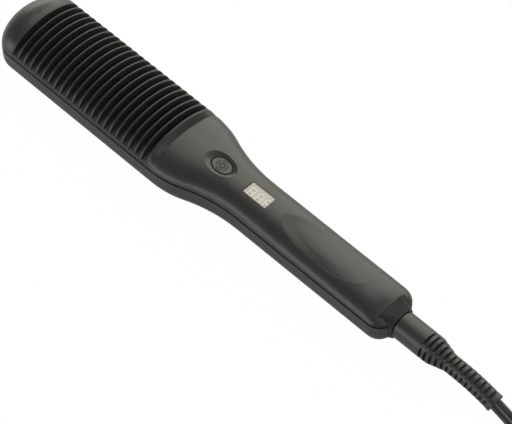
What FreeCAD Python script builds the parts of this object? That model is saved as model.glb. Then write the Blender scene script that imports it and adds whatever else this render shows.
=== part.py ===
import FreeCAD, Part
import math
import os
import Sketcher
from types import SimpleNamespace
from FreeCAD import Placement, Rotation, Vector

# Heated hair straightener brush with a finned head, a push button, a display and a swivel cord.
# X runs along the brush from its tip to the cord, Y across it, Z up from the surface it lies on.
# Lengths named *_from_tip, *_start or *_end are measured along X from the tip of the head.

doc = FreeCAD.newDocument("straightener_brush")
sheet = doc.addObject("Spreadsheet::Sheet", "dims")

sizes = {
    # body shells
    "tip_x": -165.23,
    "body_length": 267.9,
    "parting_z": 15.0,
    "wall": 2.0,
    "belly_radius": 8.4,
    "groove_height": 0.8,
    "groove_depth": 0.9,
    "shell_gap": 0.05,
    "seat_clearance": 0.3,
    # head
    "head_half_width": 23.4,
    "dome_height": 13.3,
    "tip_length": 15.5,
    "comb_start": 18.5,
    "fin_pitch": 4.5,
    "fin_count": 22,
    "fin_thickness": 1.2,
    "fin_edge_thickness": 0.7,
    "slot_rim_height": 2.0,
    "slot_floor_height": 4.0,
    "slot_floor_half_width": 23.05,
    "ramp_length": 2.8,
    # neck and handle
    "neck_height": 9.9,
    "shoulder_radius": 50.0,
    "neck_radius": 85.0,
    "handle_half_width": 13.9,
    "handle_end_height": 7.3,
    "crown_sag": 0.28,
    "end_round": 9.0,
    "crown_round": 16.0,
    "grip_wall": 3.4,
    "grip_from_tip": 221.2,
    "grip_half_length": 27.2,
    "grip_half_width": 8.0,
    "grip_depth": 1.5,
    "grip_rim_round": 6.0,
    # heating plate and what sits under it
    "window_half_width": 16.0,
    "window_margin": 1.5,
    "plate_flange_half_width": 19.0,
    "plate_flange_thickness": 2.0,
    "plate_ledge_z": 17.0,
    "rib_width": 1.3,
    "rib_height": 9.0,
    "rib_half_length": 14.0,
    "heater_length": 72.0,
    "heater_width": 12.0,
    "heater_thickness": 1.5,
    "insulator_thickness": 0.6,
    "clamp_thickness": 1.0,
    "clamp_width": 30.0,
    "post_spacing": 70.0,
    "post_width": 3.0,
    "insulator_margin": 1.0,
    "clamp_foot_length": 7.0,
    "clamp_foot_gap": 1.5,
    "clamp_end_margin": 0.5,
    "clamp_slot_inset": 4.0,
    "clamp_slot_width": 5.0,
    "clamp_slot_offset": 11.0,
    "clamp_screw_offset": 10.0,
    "clamp_screw_head_radius": 2.2,
    "clamp_screw_head_height": 1.4,
    "clamp_screw_length": 5.0,
    "sensor_radius": 1.2,
    "sensor_length": 5.0,
    "sensor_from_middle": 12.0,
    "sensor_offset": 11.0,
    "fuse_radius": 1.6,
    "fuse_length": 10.0,
    "fuse_from_middle": 4.0,
    "under_plate_gap": 0.05,
    # power button
    "button_from_tip": 147.8,
    "button_half_length": 6.3,
    "button_half_width": 4.2,
    "button_gap": 0.3,
    "button_top_z": 23.1,
    "button_dish_half_length": 9.7,
    "button_dish_half_width": 7.3,
    "button_dish_depth": 2.0,
    "button_travel": 0.5,
    "button_rim": 0.9,
    "button_rim_thickness": 0.9,
    "guide_wall": 1.1,
    "guide_bottom_z": 20.6,
    "icon_radius": 3.0,
    "icon_line": 0.45,
    "icon_depth": 0.25,
    "icon_gap": 0.9,
    "icon_inner_share": 0.5,
    "icon_bar_gap": 1.2,
    "button_edge_round": 0.5,
    # display
    "display_from_tip": 173.4,
    "display_length": 15.3,
    "display_width": 7.8,
    "display_lip": 1.2,
    "display_lens_thickness": 1.4,
    "lens_recess": 0.45,
    "lens_cover": 0.9,
    "lens_lip_thickness": 0.6,
    "lens_gap": 0.1,
    "display_gap": 0.2,
    # control board
    "board_start": 139.0,
    "board_length": 78.0,
    "board_half_width": 9.5,
    "board_thickness": 1.2,
    "board_top_z": 13.6,
    "board_corner": 1.5,
    "board_screw_inset": 3.5,
    "board_screw_head_radius": 2.0,
    "board_screw_head_height": 1.2,
    "board_screw_length": 6.0,
    "triac_from_board": 14.0,
    "triac_length": 10.0,
    "triac_width": 4.5,
    "triac_height": 4.5,
    "triac_offset": 4.0,
    "bridge_from_board": 32.0,
    "bridge_length": 7.0,
    "bridge_width": 8.0,
    "bridge_height": 3.2,
    "bridge_offset": 2.0,
    "terminal_from_board": 66.0,
    "terminal_length": 6.0,
    "terminal_width": 10.0,
    "terminal_height": 5.0,
    "capacitor_from_board": 44.0,
    "capacitor_radius": 3.6,
    "capacitor_length": 15.0,
    "capacitor_offset": 2.0,
    "capacitor_gap": 0.1,
    "standoff_radius": 2.6,
    "switch_side": 6.0,
    "switch_height": 3.4,
    "plunger_radius": 1.7,
    "plunger_clearance": 0.06,
    "plunger_reach": 0.8,
    "plunger_depth": 0.6,
    "switch_well_floor_gap": 1.2,
    # screws
    "screw_radius": 1.3,
    "screw_head_radius": 2.6,
    "screw_head_height": 1.8,
    "screw_seat": 1.0,
    "screw_fit": 0.05,
    "screw_clearance": 0.2,
    "shell_screw_bite": 4.5,
    "boss_radius": 3.6,
    "tip_screw_from_tip": 9.5,
    "neck_screw_from_tip": 131.0,
    "neck_screw_offset": 13.5,
    "handle_screw_from_end": 35.9,
    # swivel
    "axis_z": 11.0,
    "collar_root": 9.7,
    "collar_corner": 3.6,
    "collar_front_corner": 5.2,
    "collar_length": 7.6,
    "collar_gap": 0.15,
    "cradle_thickness": 1.5,
    "shaft_radius": 4.5,
    "swivel_clearance": 0.05,
    "shaft_collar_radius": 5.9,
    "shaft_collar_thickness": 2.0,
    "shaft_tail": 14.0,
    "shaft_reach": 9.5,
    "ring_thickness": 0.8,
    "ring_width": 2.4,
    "ring_spacing": 4.6,
    "ring_margin": 1.6,
    "ring_bore_gap": 0.02,
    "swivel_end_gap": 0.1,
    "contact_thickness": 0.4,
    "contact_gap": 0.08,
    "contact_inset": 0.4,
    "contact_height": 8.0,
    "holder_margin": 1.5,
    # strain relief
    "collar_reach": 1.5,
    "relief_radius": 7.4,
    "relief_barrel_length": 20.8,
    "relief_cone_length": 9.8,
    "relief_neck_radius": 4.85,
    "relief_straight_length": 35.6,
    "relief_bend_radius": 77.7,
    "relief_bend_degrees": 18.0,
    "relief_end_radius": 4.97,
    "relief_end_flange": 2.2,
    "relief_slot_offset": 17.2,
    "relief_slot_pitch": 3.0,
    "relief_slot_count": 14,
    "relief_slot_width": 1.4,
    "relief_slot_half_angle": 39.0,
    # cord, its tied hank and the plug
    "cord_diameter": 5.4,
    "hank_x": 245.2,
    "hank_y": 16.0,
    "hank_run": 47.6,
    "hank_loop_radius": 24.0,
    "hank_width": 14.8,
    "hank_height": 15.8,
    "hank_bevel": 3.0,
    "tie_x": 236.0,
    "tie_thickness": 1.0,
    "tie_width": 7.0,
    "plug_length": 36.0,
    "plug_width": 35.3,
    "plug_thickness": 13.7,
    "plug_neck_length": 22.0,
    "plug_rest_gap": 0.1,
    "pin_radius": 2.0,
    "pin_length": 19.0,
    "pin_spacing": 18.6,
    "pin_root_radius": 1.6,
    "pin_root_length": 8.0,
    "pin_tip_chamfer": 1.0,
    "pin_root_gap": 0.1,
}

for row, (alias, value) in enumerate(sizes.items(), start=1):
    sheet.set("A%d" % row, alias)
    sheet.set("B%d" % row, str(value))
    sheet.setAlias("B%d" % row, alias)
doc.recompute()
dim = SimpleNamespace(**{alias: float(sheet.get(alias)) for alias in sizes})

# Places that follow from the sizes. Those along X are still measured from the tip.
places = doc.addObject("App::VarSet", "places")
place_rules = {
    "comb_end": "dims.comb_start + dims.fin_count * dims.fin_pitch + dims.fin_thickness / 2",
    "neck_start": "places.comb_end + dims.ramp_length",
    "comb_middle": "(dims.comb_start + places.comb_end) / 2",
    "crown_start": "dims.body_length - dims.crown_round",
    "end_round_start": "dims.body_length - dims.end_round",
    "relief_start": "dims.body_length + dims.collar_reach",
    "relief_cone_start": "places.relief_start + dims.relief_barrel_length",
    "relief_cone_end": "places.relief_cone_start + dims.relief_cone_length",
    "relief_bend_start": "places.relief_start + dims.relief_straight_length",
    "collar_face_x": "places.relief_start - dims.seat_clearance * 0.75",
    "collar_back_x": "places.collar_face_x - dims.collar_length",
    "shaft_collar_x": "places.collar_back_x - dims.swivel_end_gap - dims.shaft_collar_thickness",
    "shaft_tail_x": "places.shaft_collar_x - dims.shaft_tail",
    "first_ring_x": "places.shaft_collar_x - dims.ring_width - dims.ring_margin",
    "second_ring_x": "places.first_ring_x - dims.ring_spacing",
    "contact_y": "dims.shaft_radius + dims.ring_thickness + dims.contact_gap",
    "board_bottom_z": "dims.board_top_z - dims.board_thickness",
    "plate_bottom_z": "dims.plate_ledge_z - dims.plate_flange_thickness",
    "heater_z": "places.plate_bottom_z - dims.heater_thickness",
    "insulator_z": "places.heater_z - dims.insulator_thickness",
    "clamp_z": "places.insulator_z - dims.clamp_thickness",
    "clamp_foot_offset": "dims.heater_length / 2 + dims.clamp_foot_length / 2 + dims.clamp_foot_gap",
    "display_share": "(dims.display_from_tip - places.neck_start) / (places.crown_start - places.neck_start)",
    "display_level": "dims.neck_height + places.display_share * (dims.handle_end_height - dims.neck_height)",
    "display_sag": "4 * dims.crown_sag * places.display_share * (1 - places.display_share)",
    "lens_top_z": "dims.parting_z + places.display_level - places.display_sag - dims.lens_recess",
    "lens_lip_z": "places.lens_top_z - dims.lens_cover - dims.shell_gap - dims.lens_lip_thickness",
    "rim_top_z": "dims.guide_bottom_z - dims.seat_clearance",
    "plunger_top_z": "dims.board_top_z + dims.switch_height + dims.plunger_reach",
    "plunger_z": "dims.board_top_z + dims.switch_height - dims.plunger_depth",
    "screw_head_z": "dims.wall + dims.screw_seat",
}
for name in place_rules:
    places.addProperty("App::PropertyFloat", name, "Places")
for name, rule in place_rules.items():
    places.setExpression(name, rule)
doc.recompute()
place = SimpleNamespace(**{name: float(getattr(places, name)) for name in place_rules})

width_drop = dim.head_half_width - dim.handle_half_width
flank_angle = math.acos(1 - width_drop / (dim.shoulder_radius + dim.neck_radius))
shoulder_end = place.neck_start + dim.shoulder_radius * math.sin(flank_angle)
neck_end = shoulder_end + dim.neck_radius * math.sin(flank_angle)

finished = {}


def finish(label, obj):
    obj.Label = label
    finished[label] = obj
    return obj


def bind(obj, rules):
    for name, rule in rules.items():
        obj.setExpression(name, rule)
    return obj


def set_place(obj, x, y, z):
    # x is a rule for the distance from the tip of the head.
    return bind(obj, {"Placement.Base.x": "dims.tip_x + " + x, "Placement.Base.y": y,
                      "Placement.Base.z": z})


def box(name, x, y, z, length, width, height):
    obj = doc.addObject("Part::Box", name)
    bind(obj, {"Length": length, "Width": width, "Height": height})
    return set_place(obj, x, y, z)


def centred_box(name, x, z, length, width, height, y="0"):
    return box(name, "%s - (%s) / 2" % (x, length), "%s - (%s) / 2" % (y, width), z,
               length, width, height)


def upright(name, x, y, z, radius, height):
    obj = doc.addObject("Part::Cylinder", name)
    bind(obj, {"Radius": radius, "Height": height})
    return set_place(obj, x, y, z)


def lengthwise(name, x, radius, length, y="0", z="dims.axis_z"):
    obj = doc.addObject("Part::Cylinder", name)
    obj.Placement = Placement(Vector(), Rotation(Vector(0, 1, 0), 90))
    bind(obj, {"Radius": radius, "Height": length})
    return set_place(obj, x, y, z)


def fused(name, shapes):
    obj = doc.addObject("Part::MultiFuse", name)
    obj.Shapes = shapes
    return obj


def cut(name, base, tools):
    obj = doc.addObject("Part::Cut", name)
    obj.Base = base
    obj.Tool = tools[0] if len(tools) == 1 else fused(name + "_cutters", tools)
    return obj


def group(name, members):
    obj = doc.addObject("Part::Compound", name)
    obj.Links = members
    return obj


def sketch_on(body, name, plane_role, height=None):
    sketch = body.newObject("Sketcher::SketchObject", name)
    plane = [item for item in body.Origin.OriginFeatures if item.Role == plane_role][0]
    sketch.AttachmentSupport = (plane, "")
    sketch.MapMode = "FlatFace"
    if height:
        sketch.setExpression("AttachmentOffset.Base.z", height)
    return sketch


def draw_circle(sketch, radius, x=None):
    index = sketch.addGeometry(Part.Circle(Vector(5, 0, 0), Vector(0, 0, 1), 1.0), False)
    size = sketch.addConstraint(Sketcher.Constraint("Radius", index, 1.0))
    sketch.setExpression("Constraints[%d]" % size, radius)
    if x is None:
        sketch.addConstraint(Sketcher.Constraint("Coincident", index, 3, -1, 1))
        return
    sketch.addConstraint(Sketcher.Constraint("PointOnObject", index, 3, -1))
    offset = sketch.addConstraint(Sketcher.Constraint("DistanceX", -1, 1, index, 3, 5.0))
    sketch.setExpression("Constraints[%d]" % offset, x)


def draw_ellipse(sketch, half_length, half_wide):
    index = sketch.addGeometry(Part.Ellipse(Vector(2, 0, 0), Vector(0, 1, 0), Vector()), False)
    sketch.exposeInternalGeometry(index)
    sketch.addConstraint(Sketcher.Constraint("Coincident", index, 3, -1, 1))
    sketch.addConstraint(Sketcher.Constraint("Horizontal", index + 1))
    major = sketch.addConstraint(Sketcher.Constraint("Distance", index + 1, 4.0))
    minor = sketch.addConstraint(Sketcher.Constraint("Distance", index + 2, 2.0))
    sketch.setExpression("Constraints[%d]" % major, "2 * (%s)" % half_length)
    sketch.setExpression("Constraints[%d]" % minor, "2 * (%s)" % half_wide)


def draw_rectangle(sketch, length, half_wide):
    # From the origin along local X, and as far to either side of it.
    corners = [Vector(0, -1, 0), Vector(3, -1, 0), Vector(3, 1, 0), Vector(0, 1, 0)]
    for start, end in zip(corners, corners[1:] + corners[:1]):
        sketch.addGeometry(Part.LineSegment(start, end), False)
    for index in range(4):
        sketch.addConstraint(Sketcher.Constraint("Coincident", index, 2, (index + 1) % 4, 1))
        sketch.addConstraint(Sketcher.Constraint("Vertical" if index % 2 else "Horizontal", index))
    sketch.addConstraint(Sketcher.Constraint("Symmetric", 3, 1, 3, 2, -1, 1))
    across_size = sketch.addConstraint(Sketcher.Constraint("DistanceY", 1, 1, 1, 2, 2.0))
    along_size = sketch.addConstraint(Sketcher.Constraint("DistanceX", 0, 1, 0, 2, 3.0))
    sketch.setExpression("Constraints[%d]" % across_size, "2 * (%s)" % half_wide)
    sketch.setExpression("Constraints[%d]" % along_size, length)


def draw_stepped_profile(sketch, steps):
    # Half section of a turned piece above local X: each step is its end and its radius.
    points = [Vector(0, 0, 0)]
    for index in range(len(steps)):
        points.append(Vector(index, index % 2 + 1, 0))
        points.append(Vector(index + 1, index % 2 + 1, 0))
    points.append(Vector(len(steps), 0, 0))
    for start, end in zip(points, points[1:] + points[:1]):
        sketch.addGeometry(Part.LineSegment(start, end), False)
    count = len(points)
    for index in range(count):
        sketch.addConstraint(Sketcher.Constraint("Coincident", index, 2, (index + 1) % count, 1))
        sketch.addConstraint(Sketcher.Constraint("Horizontal" if index % 2 else "Vertical", index))
    sketch.addConstraint(Sketcher.Constraint("Coincident", 0, 1, -1, 1))
    for index, (end, radius) in enumerate(steps):
        line = 2 * index + 1
        reach = sketch.addConstraint(Sketcher.Constraint("DistanceX", -1, 1, line, 2, index + 1.0))
        height = sketch.addConstraint(Sketcher.Constraint("DistanceY", -1, 1, line, 2, index % 2 + 1.0))
        sketch.setExpression("Constraints[%d]" % reach, end)
        sketch.setExpression("Constraints[%d]" % height, radius)


def pad(body, name, sketch, length):
    obj = body.newObject("PartDesign::Pad", name)
    obj.Profile = sketch
    obj.setExpression("Length", length)
    return obj


def turned(name, steps):
    # A body turned about local X.
    body = doc.addObject("PartDesign::Body", name)
    sketch = sketch_on(body, name + "_profile", "XY_Plane")
    draw_stepped_profile(sketch, steps)
    revolution = body.newObject("PartDesign::Revolution", name + "_turning")
    revolution.Profile = sketch
    revolution.ReferenceAxis = (sketch, ["H_Axis"])
    revolution.Angle = 360
    body.Tip = revolution
    return body


def feature(label, shape):
    obj = doc.addObject("Part::Feature", label + "_form")
    obj.Shape = shape
    return finish(label, obj)


def at(x, y=0.0, z=0.0):
    return Vector(dim.tip_x + x, y, z)


def block(x, y, z, length, width, height):
    return Part.makeBox(length, width, height, at(x, y, z))


def centred_block(x, z, length, width, height, y=0.0):
    return block(x - length / 2, y - width / 2, z, length, width, height)


def post(x, y, z, radius, height):
    return Part.makeCylinder(radius, height, at(x, y, z))


def rod(x, radius, length, y=0.0, z=None):
    height = dim.axis_z if z is None else z
    return Part.makeCylinder(radius, length, at(x, y, height), Vector(1, 0, 0))


# Turns local X to Y, Y to Z and Z to X, so that an outline drawn flat stands across the brush.
across = Rotation(Vector(1, 1, 1), 120)


def half_width(x):
    if x <= place.neck_start:
        return dim.head_half_width
    if x <= shoulder_end:
        run = x - place.neck_start
        return dim.head_half_width - dim.shoulder_radius + math.sqrt(dim.shoulder_radius**2 - run**2)
    if x <= neck_end:
        run = neck_end - x
        return dim.handle_half_width + dim.neck_radius - math.sqrt(dim.neck_radius**2 - run**2)
    run = max(x - place.end_round_start, 0.0)
    return dim.handle_half_width - dim.end_round + math.sqrt(max(dim.end_round**2 - run**2, 0.0))


def top_height(x):
    share = (x - place.neck_start) / (place.crown_start - place.neck_start)
    level = dim.neck_height + share * (dim.handle_end_height - dim.neck_height)
    return level - 4 * dim.crown_sag * share * (1 - share)


def arch(x, width, height, lift=0.0):
    curve = Part.ArcOfEllipse(Part.Ellipse(Vector(), width, height), 0, math.pi)
    chord = Part.LineSegment(curve.EndPoint, curve.StartPoint)
    wire = Part.Wire([curve.toShape(), chord.toShape()])
    wire.Placement = Placement(at(x, 0, dim.parting_z + lift), across)
    return wire


def arch_bar(start, end, width, height, lift=0.0):
    return Part.Face(arch(start, width, height, lift)).extrude(Vector(end - start, 0, 0))


def ellipsoid(centre, radius_x, radius_y, radius_z, pole_tilt):
    # The tilt turns the poles and the seam of the ball away from the part of it that is used.
    ball = Part.makeSphere(1.0)
    ball.rotate(Vector(), Vector(0, 1, 0), pole_tilt)
    scale = FreeCAD.Matrix()
    scale.scale(radius_x, radius_y, radius_z)
    solid = ball.transformGeometry(scale)
    solid.translate(centre)
    return solid


def tip_dome(inset):
    dome = ellipsoid(at(dim.tip_length, 0, dim.parting_z), dim.tip_length - inset,
                     dim.head_half_width - inset, dim.dome_height - inset, 45)
    quarter = block(-1, -dim.head_half_width - 1, dim.parting_z, dim.tip_length + 1,
                    2 * dim.head_half_width + 2, dim.dome_height + 1)
    return dome.common(quarter)


def arch_loft(stations, inset, top_inset, ruled=False):
    rings = [arch(x, half_width(x) - inset, top_height(x) - top_inset) for x in stations]
    return Part.makeLoft(rings, True, ruled)


def spread(start, end, steps):
    return [start + (end - start) * step / steps for step in range(steps + 1)]


def handle_dome(start, inset, top_inset, steps, ruled):
    rings = []
    for x in spread(start, neck_end, steps) + spread(neck_end, place.crown_start, steps - 1)[1:]:
        rings.append(arch(x, half_width(x) - inset, top_height(x) - top_inset))
    stations = [(x, dim.handle_half_width - inset) for x in spread(place.crown_start, place.end_round_start, 2)[1:-1]]
    for angle in (0, 22, 40, 55, 68, 79, 90):
        turn = math.radians(angle)
        reach = dim.end_round - inset
        stations.append((place.end_round_start + reach * math.sin(turn),
                         dim.handle_half_width - dim.end_round + reach * math.cos(turn)))
    for x, width in stations:
        run = min((x - place.crown_start) / (dim.crown_round - inset), 0.996)
        rings.append(arch(x, width, (dim.handle_end_height - top_inset) * math.sqrt(1 - run**2)))
    return Part.makeLoft(rings, True, ruled)


def plan_face(inset, z):
    wide = dim.head_half_width - inset
    slim = dim.handle_half_width - inset
    corner = dim.end_round - inset
    convex = dim.shoulder_radius - inset
    concave = dim.neck_radius + inset
    mid = flank_angle / 2

    tip = Part.Ellipse(Vector(), wide, dim.tip_length - inset)
    tip_arc = Part.ArcOfEllipse(tip, 0, math.pi / 2).toShape()
    tip_arc.Placement = Placement(at(dim.tip_length), Rotation(Vector(0, 0, 1), 90))

    def on_shoulder(angle):
        return at(place.neck_start + convex * math.sin(angle), wide - convex * (1 - math.cos(angle)))

    def on_neck(angle):
        return at(neck_end - concave * math.sin(angle), slim + concave * (1 - math.cos(angle)))

    def on_corner(angle):
        return at(place.end_round_start + corner * math.sin(angle), slim - corner * (1 - math.cos(angle)))

    edges = [
        tip_arc,
        Part.LineSegment(at(dim.tip_length, wide), on_shoulder(0)).toShape(),
        Part.Arc(on_shoulder(0), on_shoulder(mid), on_shoulder(flank_angle)).toShape(),
        Part.Arc(on_neck(flank_angle), on_neck(mid), on_neck(0)).toShape(),
        Part.LineSegment(on_neck(0), on_corner(0)).toShape(),
        Part.Arc(on_corner(0), on_corner(math.pi / 4), on_corner(math.pi / 2)).toShape(),
        Part.LineSegment(on_corner(math.pi / 2), at(dim.body_length - inset)).toShape(),
    ]
    mirrored = [edge.mirror(Vector(), Vector(0, 1, 0)) for edge in edges]
    face = Part.Face(Part.Wire(Part.__sortEdges__(edges + mirrored)))
    face.translate(Vector(0, 0, z))
    return face


def tray(bottom, top):
    slab = plan_face(0, bottom).extrude(Vector(0, 0, top - bottom))
    rim = [edge for edge in slab.Edges if edge.BoundBox.ZMax < bottom + 0.001]
    return slab.makeFillet(dim.belly_radius, rim)


def tray_cavity(top):
    # The bevel keeps the wall about even behind the rounded belly.
    slab = plan_face(dim.wall, dim.wall).extrude(Vector(0, 0, top - dim.wall))
    rim = [edge for edge in slab.Edges if edge.BoundBox.ZMax < dim.wall + 0.001]
    return slab.makeChamfer(dim.belly_radius - dim.wall - 2.6, rim)


def rounded_square(half, corner, x):
    flat = half - corner
    slab = Part.makeBox(2 * half, 2 * half, 1.0, Vector(-half, -half, 0))
    uprights = [edge for edge in slab.Edges if edge.BoundBox.ZLength > 0.5]
    rounded = slab.makeFillet(corner, uprights) if flat > 0 else slab
    outline = min(rounded.Faces, key=lambda face: face.CenterOfMass.z).OuterWire
    outline.Placement = Placement(at(x, 0, dim.axis_z), across).multiply(outline.Placement)
    return outline


def ring_wire(radius, x):
    wire = Part.Wire([Part.Circle(Vector(), Vector(0, 0, 1), radius).toShape()])
    wire.Placement = Placement(at(x, 0, dim.axis_z), across)
    return wire


# ---- screws: places shared by the shells and the screws ----
shell_screw_spots = [
    (dim.tip_screw_from_tip, 0.0),
    (dim.neck_screw_from_tip, dim.neck_screw_offset),
    (dim.neck_screw_from_tip, -dim.neck_screw_offset),
    (dim.body_length - dim.handle_screw_from_end, 0.0),
]
board_screw_spots = [
    (dim.board_start + dim.board_screw_inset, 0.0),
    (dim.board_start + dim.board_length - dim.board_screw_inset, 0.0),
]
post_spots = [(place.comb_middle + side * dim.post_spacing / 2, flank * (dim.plate_flange_half_width - 2.0))
              for side in (-1, 1) for flank in (-1, 1)]
clamp_screw_spots = [(place.comb_middle + side * place.clamp_foot_offset, flank * dim.clamp_screw_offset)
                     for side in (-1, 1) for flank in (-1, 1)]


# ---- collar form, used by the swivel socket and by the hole that it sits in ----
def collar_form(extra):
    root = rounded_square(dim.collar_root + extra, dim.collar_corner, place.collar_back_x)
    front = rounded_square(dim.relief_radius + extra, dim.collar_front_corner, place.collar_face_x)
    return Part.makeLoft([root, front], True, True)


# ---- upper housing: domed shell with the comb cut across it ----
def slot_floor(start, end, extra):
    return arch_bar(start, end, dim.slot_floor_half_width, dim.slot_floor_height + extra,
                    dim.slot_rim_height)


def comb_slot(left_fin):
    # The slot is wider at its mouth, because the fins taper from root to edge.
    reach = dim.head_half_width + 1
    low_z = dim.parting_z + dim.slot_rim_height
    high_z = dim.parting_z + dim.dome_height + 1.0
    root = dim.fin_thickness / 2
    edge = root - (dim.fin_thickness - dim.fin_edge_thickness) / 2 * (high_z - low_z) / (high_z - 1.0 - low_z)
    right_fin = left_fin + dim.fin_pitch
    corners = [at(left_fin + root, -reach, low_z), at(right_fin - root, -reach, low_z),
               at(right_fin - edge, -reach, high_z), at(left_fin + edge, -reach, high_z)]
    gap = Part.Face(Part.makePolygon(corners + corners[:1])).extrude(Vector(0, 2 * reach, 0))
    return gap.cut(slot_floor(left_fin, right_fin, 0.0))


def gripped_handle():
    # The handle's outer form with the long thumb dish, whose rim is softly rounded.
    surface = dim.parting_z + top_height(dim.grip_from_tip)
    handle = handle_dome(place.neck_start, 0, 0, 9, False).cut(scoop_cutter(at(dim.grip_from_tip, 0, surface)))
    rim = [edge for edge in handle.Edges if edge.BoundBox.YLength < 3 * dim.grip_half_width
           and edge.BoundBox.XLength > dim.grip_half_length
           and abs(edge.BoundBox.Center.x - dim.tip_x - dim.grip_from_tip) < dim.grip_half_length / 2
           and edge.BoundBox.ZMin > dim.parting_z + 1.0]
    return handle.makeFillet(dim.grip_rim_round, rim)


def make_upper_housing():
    head = arch_bar(dim.tip_length, place.comb_end, dim.head_half_width, dim.dome_height)
    ramp = Part.makeLoft([arch(place.comb_end, dim.head_half_width, dim.dome_height),
                          arch(place.neck_start, dim.head_half_width, dim.neck_height)], True, True)
    outer = tip_dome(0).fuse(head).fuse(ramp).fuse(gripped_handle())
    seam = block(-1, -dim.head_half_width - 1, dim.parting_z - 1, dim.body_length + 2,
                 2 * dim.head_half_width + 2, dim.shell_gap + 1)
    outer = outer.cut(seam)
    slots = [comb_slot(dim.comb_start + step * dim.fin_pitch) for step in range(int(dim.fin_count))]
    shell = outer.cut(slots)

    cap_inner = arch_bar(dim.tip_length, dim.comb_start - 1.5,
                         dim.head_half_width - dim.wall, dim.dome_height - dim.wall)
    ledge_half = dim.plate_flange_half_width + 1.5
    under_plate = block(dim.tip_length, -ledge_half, dim.parting_z - 1,
                        place.neck_start + 2.0 - dim.tip_length, 2 * ledge_half,
                        dim.plate_ledge_z - dim.parting_z + 1)
    window_start = dim.comb_start + dim.window_margin
    window_end = place.comb_end - dim.window_margin
    window = block(window_start, -dim.window_half_width, dim.parting_z - 1,
                   window_end - window_start, 2 * dim.window_half_width, dim.dome_height)
    above = block(window_start - 1, -dim.head_half_width, dim.parting_z + dim.slot_rim_height,
                  window_end - window_start + 2, 2 * dim.head_half_width, dim.dome_height + 5)
    above = above.cut(slot_floor(window_start - 2, window_end + 2, dim.seat_clearance))
    for cavity in (tip_dome(dim.wall), cap_inner, under_plate, window.cut(above),
                   handle_dome(place.neck_start + 1.5, dim.wall, dim.grip_wall, 5, True),
                   arch_loft(spread(place.neck_start + 1.5, neck_end + 14.0, 6), dim.wall + 0.1, dim.wall, True)):
        shell = shell.cut(cavity)

    for x, y in shell_screw_spots:
        shell = shell.fuse(post(x, y, dim.parting_z, dim.boss_radius, 14.0).common(outer))
    guide = Part.Face(oval_wire(dim.button_half_length + dim.button_gap + dim.guide_wall,
                                dim.button_half_width + dim.button_gap + dim.guide_wall,
                                dim.guide_bottom_z)).extrude(Vector(0, 0, 5.0))
    shell = shell.fuse(guide.common(outer))

    button_surface = dim.parting_z + top_height(dim.button_from_tip)
    dish = dish_cutter(at(dim.button_from_tip, 0, button_surface), dim.button_dish_half_length,
                       dim.button_dish_half_width, dim.button_dish_depth)
    button_hole = Part.Face(oval_wire(dim.button_half_length + dim.button_gap,
                                      dim.button_half_width + dim.button_gap,
                                      dim.parting_z)).extrude(Vector(0, 0, 15.0))
    lens_hole = centred_block(dim.display_from_tip, dim.parting_z, dim.display_length,
                              dim.display_width, 15.0)
    lens_seat = centred_block(dim.display_from_tip, dim.parting_z,
                              dim.display_length + 2 * dim.display_lip,
                              dim.display_width + 2 * dim.display_lip,
                              place.lens_top_z - dim.lens_cover - dim.parting_z)
    pilots = [post(x, y, dim.parting_z - 1, dim.screw_radius + dim.screw_fit, 6.0) for x, y in shell_screw_spots]
    groove = plan_face(-1.0, dim.parting_z - 1).extrude(Vector(0, 0, dim.groove_height + 1))
    groove = groove.cut(plan_face(dim.groove_depth, dim.parting_z - 2).extrude(Vector(0, 0, 5.0)))
    for cutter in [dish, button_hole, lens_hole, lens_seat] + pilots:
        shell = shell.cut(cutter)
    for cutter in (groove, collar_form(dim.collar_gap)):
        shell = shell.cut(cutter)
    return shell


def oval_wire(half_length, half_wide, z, x=None):
    curve = Part.Ellipse(Vector(), half_length, half_wide).toShape()
    curve.translate(at(dim.button_from_tip if x is None else x, 0, z))
    return Part.Wire([curve])


def dish_cutter(surface, half_length, half_wide, depth):
    height = 3 * depth
    lift = height - depth
    spread_out = 1 / math.sqrt(1 - (lift / height)**2)
    return ellipsoid(surface + Vector(0, 0, lift), half_length * spread_out,
                     half_wide * spread_out, height, -90)


def scoop_cutter(surface):
    # A long shallow ellipsoid whose curvatures give the stated length and width on the domed grip.
    height = 20.0
    depth = dim.grip_depth
    length_curve = dim.grip_half_length**2 / (2 * depth)
    crown_curve = dim.handle_half_width**2 / top_height(dim.grip_from_tip)
    width_curve = 1 / (2 * depth / dim.grip_half_width**2 - 1 / crown_curve)
    return ellipsoid(surface + Vector(0, 0, height - depth), math.sqrt(length_curve * height),
                     math.sqrt(width_curve * height), height, -90)


# ---- lower housing: tray with rounded belly, bosses, posts and the swivel cradle ----
def make_lower_housing():
    top = dim.parting_z
    shell = tray(0, top).cut(tray_cavity(top + 1))
    added = [post(x, y, 0.5, dim.boss_radius, top - 0.5) for x, y in shell_screw_spots]
    added += [post(x, y, 0.5, dim.standoff_radius, place.board_bottom_z - 0.5) for x, y in board_screw_spots]
    added += [centred_block(x, 0.5, dim.post_width * 2, dim.post_width, place.plate_bottom_z - 0.5, y)
              for x, y in post_spots]
    cradle_x = place.collar_back_x - dim.swivel_end_gap - dim.cradle_thickness
    cradle = block(cradle_x, -dim.handle_half_width, 0.5, dim.cradle_thickness,
                   2 * dim.handle_half_width, top - 0.5)
    added.append(cradle.cut(rod(cradle_x - 2, dim.shaft_collar_radius + 0.6, 6)))
    outer = tray(0, top)
    shell = shell.fuse([piece.common(outer) for piece in added])
    clear = [post(x, y, -1, dim.screw_radius + dim.screw_clearance, top + 2) for x, y in shell_screw_spots]
    clear += [post(x, y, -1, dim.screw_head_radius + dim.screw_clearance, place.screw_head_z + 1.0) for x, y in shell_screw_spots]
    clear += [post(x, y, 4.0, dim.screw_radius, place.board_bottom_z) for x, y in board_screw_spots]
    return shell.cut(clear + [collar_form(dim.collar_gap)])


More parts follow.
